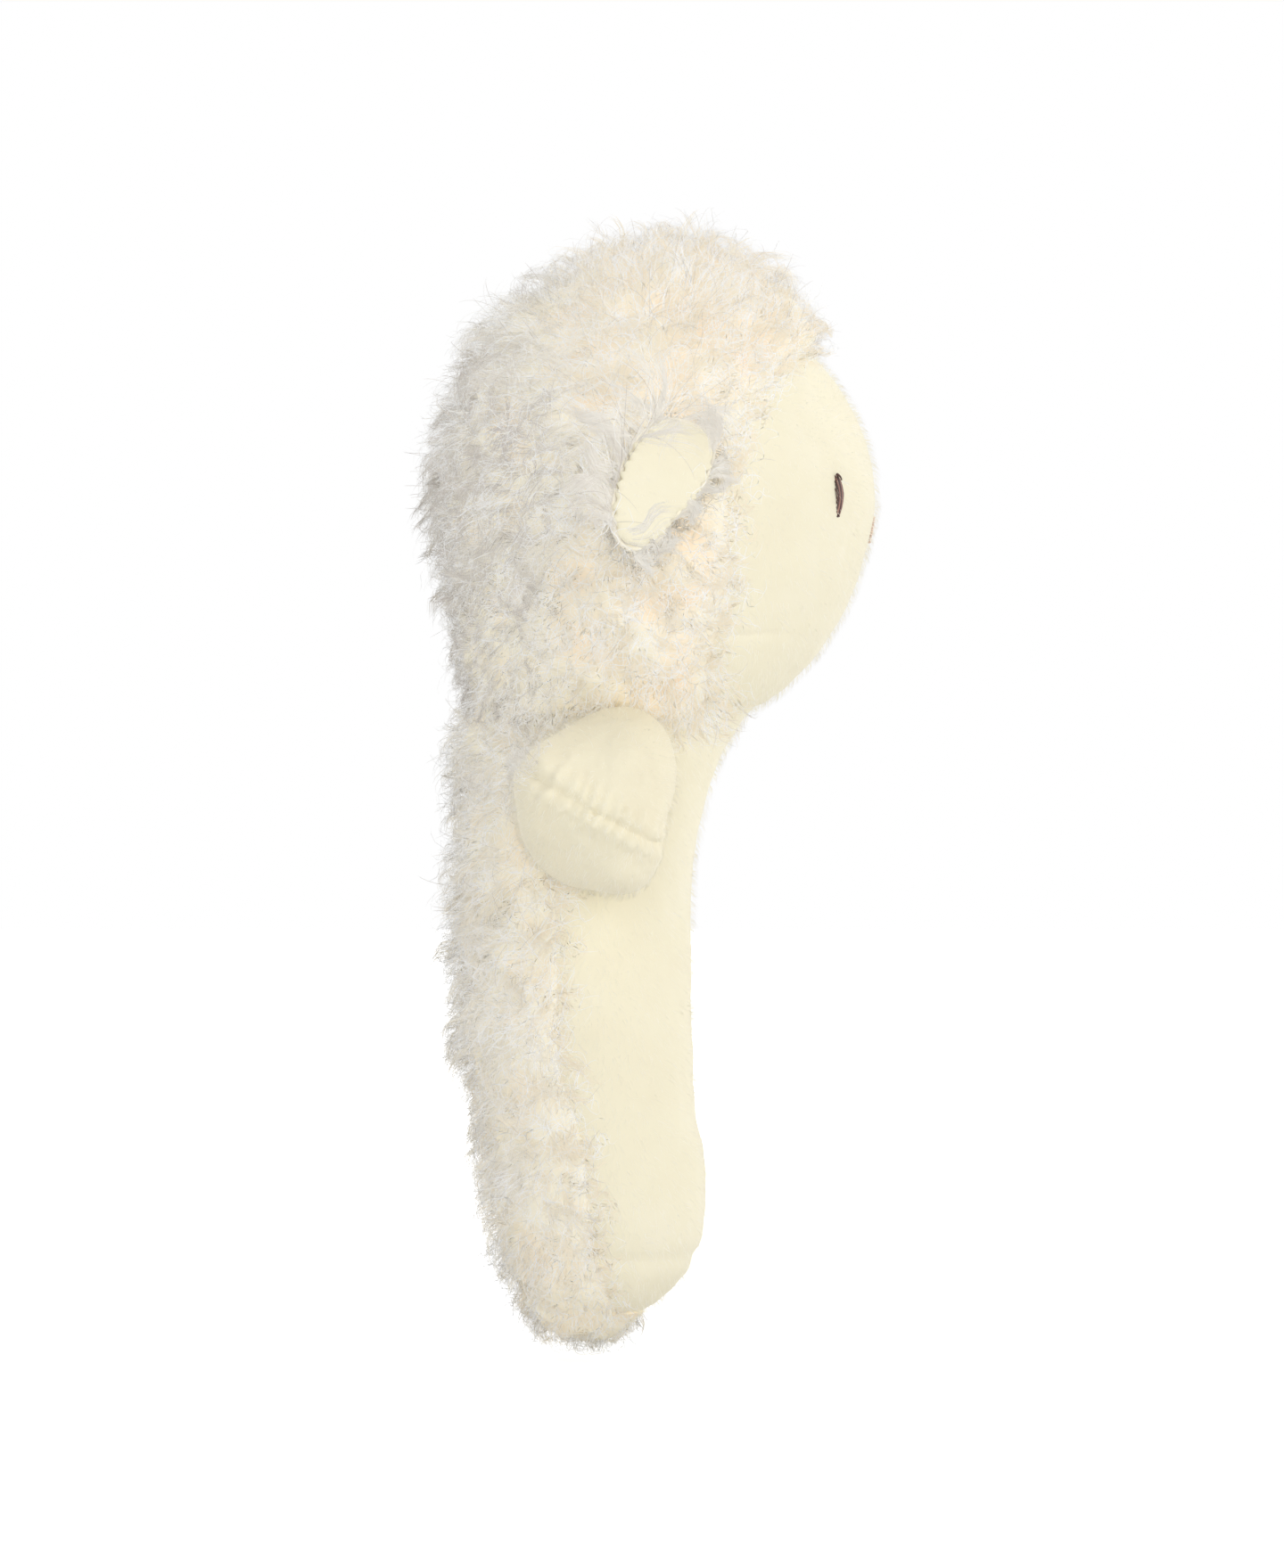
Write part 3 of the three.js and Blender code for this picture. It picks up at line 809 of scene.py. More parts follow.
def wool_tone_with_painted_shade(points, edge):
    # Painted shade: the tone falls towards the back, which greys the underpile, and rises in the hollows
    # between the heaps, whose noise tufts() shares, which turns them peach.
    cream = 0.3 * smooth(-12.0, 12.0, points[..., 0])
    inner = 0.2 + cream + 0.3 * noise(points, 9.0, 8.0) - 0.3 * noise(points, 6.5, 3.0)
    beside = 1 - smooth(0.5, 5.0, edge)
    return inner * (1 - beside) + 0.2 * beside


def base_pile(points, edge):
    return 0.3 * tufts(points) * (1 - smooth(4.8, 7.6, points[..., 2]))


upper_stick = stick_levels[stick_levels[:, 0] >= base_seam_height - 2 * base_seam_overlap]
lower_stick = stick_levels[stick_levels[:, 0] <= base_seam_height + base_seam_overlap]
belly_turn = seam_turn(upper_stick, BELLY_SEAM)
belly_edge = belly_turn + seam_overlap / np.maximum(upper_stick[:, 2], 3.0)
stick_front = skin_patch("stick_front_skin", upper_stick, -belly_edge, belly_edge, 110,
                         panel_backing, belly_pile, velour_tone, cream_velour)
stick_back = skin_patch("stick_back_skin", upper_stick, belly_turn, whole_turn - belly_turn, 110,
                        wool_backing, wool_pile, wool_tone_with_painted_shade, white_wool)
round_low = np.zeros(len(lower_stick))
stick_base = skin_patch("stick_base_skin", lower_stick, round_low, round_low + whole_turn, 90,
                        base_backing, base_pile, wool_tone_with_painted_shade, white_wool)

face_turn = seam_turn(head_levels, FACE_SEAM)
face_levels = head_levels[face_turn > 0.02]
face_edge = face_turn[face_turn > 0.02] + seam_overlap / np.maximum(face_levels[:, 2], 3.0)
head_face = skin_patch("head_face_skin", face_levels, -face_edge, face_edge, 150,
                       panel_backing, face_pile, velour_tone, cream_velour)
head_wool = skin_patch("head_wool_skin", head_levels, face_turn, whole_turn - face_turn, 190,
                       wool_backing, head_wool_pile, wool_tone_with_painted_shade, white_wool)


# Stuffing inside the skins

def stuffing(name, level_rows, low_x=-np.inf, high_x=np.inf):
    """A filling, flat against the planes x = low_x and x = high_x where it would pass them."""
    bare, normals = round_surface(level_rows, 64)
    grid = bare + normals * (-0.25 + 0.25 * noise(bare, 5.0, 9.0))[..., None]
    grid[..., 0] = np.clip(grid[..., 0], low_x, high_x)
    return closed_object(name, grid, noise(bare, 4.0, 9.5) * 0.5 + 0.5, polyester_fibre)


stick_fill = stuffing("stick_filling", stick_levels[::3])
rows = head_levels[::3]
front_rows = rows[(rows[:, 0] > neck_height + 5) & (rows[:, 1] + rows[:, 2] > filling_split + 2.5)]
back_rows = rows[rows[:, 0] > neck_height - 2]
head_fill_front = stuffing("head_filling_front", front_rows, low_x=filling_split + filling_gap / 2)
head_fill_back = stuffing("head_filling_back", back_rows, high_x=filling_split - filling_gap / 2)


# Arms

def arm_matrix(side):
    place = Matrix.Translation((arm_forward, side * arm_root_reach, arm_height))
    turn = Matrix.Rotation(-side * arm_droop, 4, "X") @ Matrix.Rotation(arm_seam_tilt, 4, "Y")
    return np.array(place @ turn)


def moved(matrix, points):
    return points @ matrix[:3, :3].T + matrix[:3, 3]


def turned(matrix, vectors):
    return vectors @ matrix[:3, :3].T


def laid(side, vectors):
    """The arm form's own axis is +Z; it is laid along the side, its width staying forward."""
    return vectors @ np.array([[1, 0, 0], [0, 0, side], [0, 1, 0]], float).T


arm_levels = levels(ARM_SHARES, 0.0, arm_length, (arm_half_width, arm_half_width, arm_half_depth),
                    count=90, closed_low=None, closed_high=arm_length)


def arm_skin(side, name, start):
    """Half of an arm's skin, over or under the seam that crosses the tip, from a start angle."""
    starts = np.full(len(arm_levels), start)
    bare, normals = surface(arm_levels, starts, starts + math.pi, 84)
    across, up, out = bare[..., 0], bare[..., 1], bare[..., 2]
    near_tip = smooth(0.45 * arm_length, 0.95 * arm_length, out)
    seam = np.abs(up)
    roll = 0.32 * hump(seam - 1.3, 0.8) * near_tip
    wave = np.sin(across * 3.3 + 2.0 * noise(bare, 4.0, 2.0)) * hump(seam - 1.2, 1.8)
    pebbles = (0.4 * np.abs(noise(bare, 1.5, 4.0)) + 0.3 * noise(bare, 2.8, 6.0)) * near_tip
    raised_and_highlight = roll + 0.26 * wave * near_tip + pebbles
    full = smooth(0.1 * arm_length, 0.6 * arm_length, out) * smooth(-arm_length, -0.78 * arm_length, -out)
    turn = np.arctan2(up / arm_half_depth, across / arm_half_width)
    height = velour_backing + cloth_lumps(bare, 0.35, 0.16) - 0.6 * hump(seam, 0.5) * near_tip + raised_and_highlight
    for bulge_at, bulge_wide, bulge_high in ARM_BULGES:
        away = (turn - math.radians(bulge_at) + math.pi) % whole_turn - math.pi
        height += full * bulge_high * hump(away, math.radians(bulge_wide))
    matrix = arm_matrix(side)
    outer, inner = (moved(matrix, laid(side, points)) for points in both_sides(bare, normals, height))
    normals = turned(matrix, laid(side, normals))
    if side > 0:
        outer, inner, normals, raised_and_highlight = (grid[:, ::-1] for grid in (outer, inner, normals, raised_and_highlight))
    keep_skin(name, outer, normals)
    # The arm's cloth is a little darker than the other velour, painted shade, and lighter where its seam
    # roll, waves and pebbles stand out, a painted highlight.
    return shell_object(name, outer, inner, velour_tone(outer) - 0.28 + 0.3 * raised_and_highlight, cream_velour)


def arm_filling(side, name):
    """The filling ends where the arm is sewn on."""
    bare, normals = round_surface(arm_levels[arm_levels[:, 0] > 0], 48)
    grid = bare + normals * (-0.3 + 0.2 * noise(bare, 4.0, 9.0))[..., None]
    grid = moved(arm_matrix(side), laid(side, grid))[::2, ::-side]
    return closed_object(name, grid, noise(grid, 4.0, 9.5) * 0.5 + 0.5, polyester_fibre)


arm_pieces = {}
for side, word in SIDES:
    arm_pieces[word] = [
        arm_skin(side, f"{word}_arm_upper_skin", 0.0),
        arm_skin(side, f"{word}_arm_lower_skin", math.pi),
        arm_filling(side, f"{word}_arm_filling"),
    ]


# Ears

def ear_matrix(side):
    place = Matrix.Translation((ear_forward, side * ear_out, ear_height))
    turn = Matrix.Rotation(ear_sweep, 4, "Y") @ Matrix.Rotation(side * ear_lean, 4, "X")
    return np.array(place @ turn @ Matrix.Rotation(-side * ear_turn, 4, "Z"))


def ear_flap(side, name, grow, outer, cloth, tone_of, pile):
    """One cloth of an ear, a tongue that is flat where it lies on the other and full on its own side.
    Its own X is across, Z along with the hinge at the top, and Y out from the head."""
    share = np.linspace(-1, 1, 72)[:, None]
    turn = np.linspace(0, whole_turn, 64, endpoint=False)[None, :]
    # Points crowd towards both ends, so that the tip is round.
    along = np.sin(share * math.pi / 2)
    profile = (1 - np.abs(along) ** 2.4) ** (1 / 2.1)
    narrowing = 1 - 0.2 * np.clip(-along, 0, 1) + 0.08 * np.clip(along, 0, 1)
    notch = 0.9 * hump(along + 0.3, 0.22) * np.maximum(np.cos(turn), 0) ** 2
    x = (ear_half_width + grow) * profile * narrowing * np.cos(turn) + 1.3 * along - notch
    across = x / (ear_half_width + grow)
    fold = smooth(0.1, 0.9, along) * smooth(0.1, 1.0, across)
    swell = np.sin(turn) * np.where(np.sin(turn) * outer > 0, 1.0, 0.06)
    depth = ear_thickness * profile ** 0.7 * swell * (0.72 + 0.28 * (1 - across ** 2))
    curve = ear_cup * across ** 2 + 1.6 * fold + 0.9 * along ** 2 + 0.14 * outer
    points = np.stack([x, depth + curve, (ear_half_length + grow) * along + 0 * turn], -1)
    around = np.roll(points, -1, axis=1) - np.roll(points, 1, axis=1)
    normals = unit(np.cross(around, np.gradient(points, axis=0)))
    normals[0] = (0, 0, -1)
    normals[-1] = (0, 0, 1)
    rim = hump(np.sin(turn), 0.45) * profile
    points = points + normals * pile(points, rim)[..., None]
    points[..., 1] *= side
    normals[..., 1] *= side
    points = moved(ear_matrix(side), points)[:, ::side]
    normals = turned(ear_matrix(side), normals)[:, ::side]
    own_side = np.broadcast_to(np.sin(turn) * outer, points.shape[:2])[:, ::side]
    keep_skin(name, wrapped(points), wrapped(normals))
    skins[name + "_side"] = wrapped(own_side)
    return closed_object(name, points, tone_of(points), cloth)


def wrapped(grid):
    """A grid with its first column again after the last."""
    return np.concatenate([grid, grid[:, :1]], 1)


def ear_face_pile(local, rim):
    pebbles = 0.5 * np.abs(noise(local, 1.7, 2.0))
    pebbles += 0.35 * np.sin(local[..., 2] * 3.4 + 1.5 * noise(local, 2.5, 3.0))
    return 0.12 * noise(local, 3.0, 2.0) + pebbles * rim


def ear_wool_pile(local, rim):
    return 0.3 + 0.3 * noise(local, 3.5, 3.0) - 0.25 * rim


def ear_tone(points):
    return 0.08 + 0.1 * noise(points, 5.0, 8.0)


ear_pieces = {}
for side, word in SIDES:
    ear_pieces[word] = [
        ear_flap(side, f"{word}_ear_face_skin", -0.5, 1, cream_velour, velour_tone, ear_face_pile),
        ear_flap(side, f"{word}_ear_wool_skin", 0.0, -1, white_wool, ear_tone, ear_wool_pile),
    ]


# Pile

def gathered(names):
    """Skins as one soup of triangles."""
    points, normals, faces, start = [], [], [], 0
    for name in names:
        p, n, f = skins[name]
        points.append(p.reshape(-1, 3))
        normals.append(n.reshape(-1, 3))
        faces.append(f + start)
        start += len(points[-1])
    return np.concatenate(points), np.concatenate(normals), np.concatenate(faces)


def side_edge(name):
    """For each point of a panel, its distance to the nearest side edge."""
    points = skins[name][0]
    step = np.linalg.norm(np.diff(points, axis=1), axis=-1)
    run = np.concatenate([np.zeros((len(points), 1)), np.cumsum(step, axis=1)], 1)
    return np.minimum(run, run[:, -1:] - run).ravel()


def warmth_and_painted_shade(points):
    """Painted shade makes the wool greyer and darker at the back of the lamb and round the ears; it is
    creamier towards the front.
    """
    x, y, z = points.T
    ear_painted_shade = hump(x + ear_shade_back, 10.0) * hump(z - ear_shade_height, 13.0) * smooth(14.0, 22.0, np.abs(y))
    return 0.7 * smooth(-18.0, 10.0, x) - 0.3 - 0.3 * ear_painted_shade


def wool_on(name, skin_names, weight, per_mm2, length_of, comb_of, setup, tone_base, steps=wool_steps,
            lock_share=0.075, gather=0.85, stray_share=0.09, leaning=None, shading=wool_shading_share,
            thread=wool_fibre):
    """Curly pile with stray hairs and a few bright fibres. weight: for each point, how thick it grows.
    leaning turns its growth and shading to one side, as on wool that curls round an edge."""

    def sown(density, sunk=0.0):
        """Roots, the way they grow, and whether they stand on the velour beside the wool."""
        roots, up, kept = scatter(*gathered(skin_names), weight, density)
        return roots - up * sunk, up if leaning is None else unit(up * 0.35 + leaning), kept < 0.999

    roots, up, beside = sown(per_mm2, wool_sunk)
    # Those on the wool's own cloth come first, so that the ones over the velour leave it unshaded.
    order = np.argsort(beside, kind="stable")
    roots, up, beside = roots[order], up[order], beside[order]
    paths = wool_paths(roots, up, comb_of(roots), length_of(roots), lock_share, steps, gather, wool_curl)
    # The tones carry painted shade: the wool is greyer and darker at the back and round the ears.
    tones = (tone_base + warmth_and_painted_shade(roots) + 0.22 * noise(roots, 8.0, 8.0) + 0.32 * noise(roots, 2.4, 9.0)
             + 0.3 * beside + rng.normal(size=len(roots)) * 0.08)
    strand_pieces(name, paths, (wool_radius, wool_radius * 0.6), tones, thread, up, setup, shading)

    roots, up = sown(per_mm2 * stray_share)[:2]
    paths = stray_paths(roots, up, comb_of(roots), length_of(roots) * 0.9, steps + 1)
    tones = 0.12 + rng.normal(size=len(roots)) * 0.1
    strand_pieces(name + "_stray", paths, (stray_root_radius, stray_tip_radius), tones, thread, up, setup)

    roots, up = sown(glint_per_mm2)[:2]
    paths = wool_paths(roots, up, comb_of(roots), length_of(roots) * 0.95, 1.0, wool_steps, 0.0,
                       wool_curl * 1.2)
    strand_pieces(name + "_glint", paths, (glint_radius, glint_radius * 0.6), None, wool_glint, up, setup)


def nap_on(name, skin_names, weight, per_mm2, comb, setup, length=nap_length):
    roots, up = scatter(*gathered(skin_names), weight, per_mm2)[:2]
    paths = nap_paths(roots - up * nap_sunk, up, comb, length)
    tones = (0.45 + 0.2 * noise(roots, 14.0, 7.0) + 0.3 * noise(roots, 1.4, 6.0)
             + rng.normal(size=len(roots)) * 0.2)
    strand_pieces(name, paths, (nap_root_radius, nap_tip_radius), tones, velour_nap, up, setup,
                  upward=nap_upward)


def on_neck(piece):
    """The stick's cloth is sewn to the head; here its place is baked into its mesh, and it rides on no body.
    """
    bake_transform(piece)


def on_head(piece):
    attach(piece, "head")


def on_stick(piece):
    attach(piece, "stick")


def on_arm():
    def setup(piece):
        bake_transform(piece)

    return setup


def on_ear():
    def setup(piece):
        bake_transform(piece)

    return setup


def about(length, spread, size):
    """Lengths of pile that vary from place to place."""
    return lambda roots: length + spread * noise(roots, size, 13.0)


def ruffled(direction, spread, size, shift):
    """A comb that strays from one direction."""
    return lambda roots: np.array(direction) + noise_vector(roots, size, shift) * spread


def uneven(length, roots, spread):
    return length + 0.7 * noise(roots, 9.0, 13.0) + spread * noise(roots, 4.2, 14.0)


def downward(roots):
    forward = smooth(-9, -1, roots[:, 0])[:, None] * np.array([0.9, 0.0, 0.3])
    return forward + np.array([0.0, 0.0, -1.0]) + noise_vector(roots, 9.0, 11.0) * 1.3


def nape(points):
    """How near the neck a point lies, where the wool of the head falls over that of the stick."""
    z = points[:, 2]
    return smooth(neck_height - 4, neck_height + 1, z) * (1 - smooth(neck_height + 5, neck_height + 13, z))


def head_comb(roots):
    """The crown is brushed forward into a fringe, and the back of the head falls."""
    x, z = roots[:, 0, None], roots[:, 2, None]
    crown = smooth(148, 163, z) * smooth(-6, 12, x)
    brow = smooth(24, 31, x) * crown
    fall = np.array([-0.15, 0.0, -0.75]) * (1 - crown) * (1 + 1.6 * nape(roots)[:, None])
    cheek = smooth(9, 18, x) * (1 - crown)
    return (fall + np.array([0.35, 0.0, 0.8]) * crown + np.array([-0.45, 0.0, 0.6]) * brow
            + np.array([0.9, 0.0, 0.3]) * cheek + noise_vector(roots, 9.0, 12.0) * 1.2)


def head_length(roots):
    """Short by the cheeks, full over the back and the crown."""
    x, z = roots[:, 0], roots[:, 2]
    back = smooth(-16, 4, -x)
    crown = smooth(146, 160, z) * (1 - smooth(25, 33, x))
    cheek = smooth(8, 18, x) * (1 - smooth(140, 152, z))
    neck = nape(roots)
    full = (head_wool_length + 3.4 * np.maximum(back, crown) - 1.6 * cheek * (1 - neck)
            + neck * (1.6 - 2.1 * back) - 3.0 * back * (1 - smooth(116, 127, z)) - low_poll(back, z))
    return uneven(full, roots, 2.0)


def stick_length(roots):
    x, z = roots[:, 0], roots[:, 2]
    back = smooth(-2, 9, -x)
    front = smooth(-4, 4, x)
    grip = smooth(42, 52, z) * (1 - smooth(70, 80, z))
    end = 1 - smooth(8, 20, z)
    full = stick_wool_length + (2.2 + 1.0 * grip) * back - 1.4 * front - 2.4 * end
    return uneven(full, roots, 1.6)


def spilling(wool_name, velour_name, kept):
    """The wool grows on its own panel and thins out over a strip of the velour beside it, a wider strip
    in the crease under the jaw."""
    crease = hump(heights(velour_name) - neck_height, 6.0)
    strip = 0.85 * (1 - smooth(0.3, spill + 7.0 * crease, side_edge(velour_name)))
    return np.concatenate([1.0 * kept(heights(wool_name)), strip * kept(heights(velour_name))])


wool_on("head_wool", ["head_wool_skin", "head_face_skin"],
        spilling("head_wool_skin", "head_face_skin", lambda z: z > head_wool_low),
        wool_per_mm2, head_length, head_comb, on_head, tone_base=0.5)
wool_on("stick_wool", ["stick_back_skin", "stick_front_skin"],
        spilling("stick_back_skin", "stick_front_skin", lambda z: z < stick_pile_high),
        wool_per_mm2, stick_length, downward, on_neck, tone_base=0.85)


def over_seam(roots):
    """Forward, and down over the brow, so that the ends lie on the velour."""
    brow = smooth(146, 156, roots[:, 2])[:, None]
    lie = np.array([1.0, 0.0, -0.2]) * (1 - brow) + np.array([0.5, 0.0, -1.0]) * brow
    return lie + noise_vector(roots, 4.0, 15.0) * 0.5


for skin_name, seam_name, on_top, setup in (("head_wool_skin", "head_seam_wool", True, on_head),
                                            ("stick_back_skin", "stick_seam_wool", False, on_neck)):
    shown = (heights(skin_name) > head_wool_low) == on_top
    wool_on(seam_name, [skin_name], shown * hump(side_edge(skin_name), 1.1), seam_wool_per_mm2,
            about(seam_wool_length, 1.6, 3.0), over_seam, setup, tone_base=0.75, steps=5,
            lock_share=0.2, gather=0.5, stray_share=0.02, shading=0.0)


wool_on("base_wool", ["stick_base_skin"], np.ones(len(heights("stick_base_skin"))), wool_per_mm2,
        about(base_wool_length, 0.8, 4.0), ruffled([0.0, 0.0, -1.6], 0.8, 10.0, 11.0), on_stick,
        tone_base=0.35, steps=5)
nap_on("face_nap", ["head_face_skin"], 1.0 * (heights("head_face_skin") > face_nap_low), nap_per_mm2,
       np.array([-0.4, 0.0, -0.8]), on_head)
nap_on("belly_nap", ["stick_front_skin"], 1.0 * (heights("stick_front_skin") < stick_pile_high), nap_per_mm2,
       np.array([0.0, 0.0, -1.0]), on_neck)


def arm_pile(word):
    """Nap all over, and a small tuft of wool behind, where the arm's seam starts."""
    names = [f"{word}_arm_upper_skin", f"{word}_arm_lower_skin"]
    x, y, z = gathered(names)[0].T
    nap_on(f"{word}_arm_nap", names, 1.0 * (np.abs(y) > arm_nap_near), arm_nap_per_mm2,
           np.array([-0.3, 0.0, -0.8]), on_arm(), arm_nap_length)
    near = hump(x + arm_tuft_back, 2.2) * hump(z - arm_tuft_height, 3.0) * smooth(22.0, 25.0, np.abs(y))
    wool_on(f"{word}_arm_tuft", names, near, seam_wool_per_mm2, about(arm_tuft_length, 0.8, 2.0),
            ruffled([-0.5, 0.0, 0.5], 0.8, 3.0, 14.0), on_arm(), tone_base=0.9,
            lock_share=0.04, gather=0.6, shading=0.0, thread=ear_wool_fibre)


def ear_pile(side, word):
    """The rim carries long wool, the back short wool, and the face nap alone."""
    face_name, wool_name = f"{word}_ear_face_skin", f"{word}_ear_wool_skin"
    nap_on(f"{word}_ear_nap", [face_name], np.ones(len(heights(face_name))), nap_per_mm2,
           np.array([-0.2, 0.0, -0.9]), on_ear(), ear_nap_length)
    own_side = skins[wool_name + "_side"].ravel()
    rim = smooth(-0.35, -0.1, own_side) * (1 - smooth(0.3, 0.5, own_side))
    behind = smooth(0.2, 0.4, own_side)
    matrix = ear_matrix(side)
    centre = moved(matrix, np.array([1.5, 0.0, -2.5]))
    inward = turned(matrix, np.array([0.0, -side, 0.0]))
    lengthwise = turned(matrix, np.array([0.0, 0.0, 1.0]))
    forward = turned(matrix, np.array([1.0, 0.0, 0.0]))

    def fringe_comb(roots):
        """Out from the middle, up and back, and forward over the ear's top edge."""
        off = roots - centre
        out = unit(off - (off @ inward)[:, None] * inward)
        top = smooth(4, 10, off @ lengthwise)[:, None]
        swept = np.array([-0.1, 0.0, -0.2]) * top + np.array([-0.5, 0.0, 0.15]) * (1 - top)
        return out * (1.0 - 0.3 * top) + swept + noise_vector(roots, 4.0, 14.0) * 1.2

    def fringe_length(roots):
        """Long over the top and behind, short at the tip and in front."""
        up, ahead = (roots - centre) @ lengthwise, (roots - centre) @ forward
        long = np.maximum(smooth(-4, 9, up), smooth(-3, 6, -ahead) * smooth(-13, -4, up))
        long = long * (1 - 0.75 * smooth(-1, 5, ahead))
        return short_fringe + (long_fringe - short_fringe) * long + 2.0 * noise(roots, 4.0, 13.0)

    wool_on(f"{word}_ear_fringe", [wool_name], rim, fringe_per_mm2, fringe_length, fringe_comb,
            on_ear(), tone_base=0.55, steps=8, lock_share=0.02, gather=0.72, stray_share=0.04,
            leaning=-inward * 0.9, shading=fringe_shading_share, thread=ear_wool_fibre)
    wool_on(f"{word}_ear_wool", [wool_name], behind, ear_wool_per_mm2, about(ear_wool_length, 0.8, 4.0),
            downward, on_ear(), tone_base=0.2)


for side, word in SIDES:
    arm_pile(word)
    ear_pile(side, word)


# Embroidery

def face_place(y, z, lift):
    """Points over the face at a width and height, lifted off the velour."""
    order = np.argsort(head_levels[:, 0])
    middle, length, width = (np.interp(z, head_levels[order, 0], head_levels[order, k]) for k in (1, 2, 3))
    root = np.sqrt(np.clip(1 - (y / width) ** 2, 0.01, 1))
    x = middle + length * root
    normal = unit(np.stack([np.ones_like(x), length * y / (width ** 2 * root), 0 * x], -1))
    return np.stack([x, y, z], -1) + normal * (velour_backing + lift)[..., None]


def stitches(name, starts, ends, radius, lift, tones, thread, steps=9):
    """Satin stitches: threads that rise out of the cloth, lie over it and go down again."""
    share = np.linspace(0, 1, steps)[None, :]
    y = starts[:, 0, None] * (1 - share) + ends[:, 0, None] * share
    z = starts[:, 1, None] * (1 - share) + ends[:, 1, None] * share
    rise = lift[:, None] * np.sin(share * math.pi) ** 0.45 - 0.35 * (1 - np.sin(share * math.pi) ** 0.3)
    return thread_object(name, face_place(y, z, rise), radius, tones, thread)


def thread_object(name, paths, radius, tones, thread):
    """Round threads of seven sides with closed ends."""
    count, steps = paths.shape[:2]
    sides = 7
    ahead = unit(np.gradient(paths, axis=1))
    aside = unit(flat_on(np.broadcast_to(np.array([0.31, 0.22, 0.1]), ahead.shape), ahead))
    across = np.cross(ahead, aside)
    turn = np.arange(sides) * (whole_turn / sides)
    ring = (np.cos(turn)[None, None, :, None] * aside[:, :, None]
            + np.sin(turn)[None, None, :, None] * across[:, :, None])
    share = np.linspace(0, 1, steps)
    girth = radius * (0.55 + 0.45 * np.sin(share * math.pi) ** 0.4)
    rings = paths[:, :, None] + ring * girth[None, :, None, None]
    points = np.concatenate([rings.reshape(count, -1, 3), paths[:, :1], paths[:, -1:]], 1)
    each = points.shape[1]
    faces = tube_faces(count, sides, steps, each, [((k + 1) % sides, k, each - 2) for k in range(sides)])
    v = np.concatenate([np.repeat(share, sides), [0.0, 1.0]]) * 0.96 + 0.02
    u = np.concatenate([np.tile(np.cos(turn), steps), [0.0, 0.0]]) * 0.01
    uv = np.stack([np.clip(tones, 0.02, 0.98)[:, None] + u[None], np.broadcast_to(v, (count, each))], -1)
    return mesh_object(name, points.reshape(-1, 3), faces, thread, uv.reshape(-1, 2))


def eye(side, name):
    """A narrow upright eye: long threads laid side by side, over short ones that pad them."""
    middle = side * eye_spread
    share = np.linspace(-1, 1, 9)
    half = eye_half_height * np.sqrt(1 - (share * 0.93) ** 2)
    lean = 0.04 * share
    y = side * share * eye_half_width
    starts = np.stack([middle + (y + lean) * 0.72, eye_height - half + 0.3 * np.abs(share)], -1)
    ends = np.stack([middle + y - lean, eye_height + half * 0.96], -1)
    tones = np.array([0.2, 0.6, 0.1, 0.95, 0.25, 0.05, 0.8, 0.15, 0.35])
    lift = 0.25 + 0.2 * (1 - share ** 2)
    upright = stitches(name, starts, ends, eye_thread, lift, tones, brown_thread, 13)
    rows = 10
    level = np.linspace(-0.86, 0.86, rows)
    wide = eye_half_width * np.sqrt(1 - level ** 2) * 0.95
    z = eye_height + level * eye_half_height
    starts = np.stack([middle - wide, z], -1)
    ends = np.stack([middle + wide, z + 0.1], -1)
    padding = stitches(name + "_padding", starts, ends, eye_padding_thread, np.full(rows, 0.1),
                       np.linspace(0.1, 0.4, rows), brown_thread)
    t = np.linspace(0, 1, 15)
    loop_y = side * (eye_spread + 0.5 * np.sin(t * 4.4))
    loop_z = eye_height + eye_half_height - 0.5 + 0.6 * np.sin(t * math.pi) - 0.6 * t
    loop = face_place(loop_y[None], loop_z[None], 0.3 + 0.25 * np.sin(t * math.pi)[None])
    hook = thread_object(name + "_loop", loop, eye_loop_thread, np.array([0.3]), brown_thread)
    return [upright, padding, hook]


def nose():
    """A small flat nose of level satin stitches, wider at the top."""
    rows = 11
    level = np.linspace(-1, 1, rows)
    narrowing = 0.98 - 0.62 * np.clip(-level, 0, 1) ** 1.4
    wide = nose_half_width * narrowing * np.sqrt(1 - (level * 0.86) ** 2) ** 0.6
    z = nose_height + level * nose_half_height
    starts = np.stack([-wide, z], -1)
    ends = np.stack([wide, z + 0.06 * np.cos(level * 9)], -1)
    tones = 0.45 + 0.3 * np.sin(np.arange(rows) * 2.4)
    return stitches("nose_stitches", starts, ends, nose_thread, np.full(rows, 0.02), tones, tan_thread, 13)


eyes = {"right": eye(RIGHT, "right_eye_stitches"), "left": eye(LEFT, "left_eye_stitches")}
nose_piece = nose()


# What each piece rides on, and the parts of the model that are hidden

for piece in (stick_front, stick_back, stick_fill):
    on_neck(piece)
on_stick(stick_base)
for piece in (head_face, head_wool, head_fill_front, head_fill_back, nose_piece):
    on_head(piece)
for side, word in SIDES:
    for piece in arm_pieces[word]:
        on_arm()(piece)
    for piece in ear_pieces[word]:
        on_ear()(piece)
    for piece in eyes[word]:
        on_head(piece)

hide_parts("stick_front_panel")
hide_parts("stick_back_panel")
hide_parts("stick_base_panel")
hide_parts("stick_stuffing")
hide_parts("head_face_panel")
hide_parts("head_wool_panel")
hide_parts("head_front_stuffing")
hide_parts("head_back_stuffing")
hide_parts("nose")
for side, word in SIDES:
    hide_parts(f"{word}_arm_upper_panel")
    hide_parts(f"{word}_arm_lower_panel")
    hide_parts(f"{word}_arm_stuffing")
    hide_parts(f"{word}_ear_inner_panel")
    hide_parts(f"{word}_ear_outer_panel")
    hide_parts(f"{word}_eye")

for piece in list(bpy.context.scene.objects):
    if piece.type != "MESH" or "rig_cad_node" in piece:
        continue

for node_name, node in frame["nodes"].items():
    if "rattle" in node_name:
        node.data.materials.clear()
        node.data.materials.append(capsule_plastic if "capsule" in node_name else bead_plastic)


# Floor, light and camera

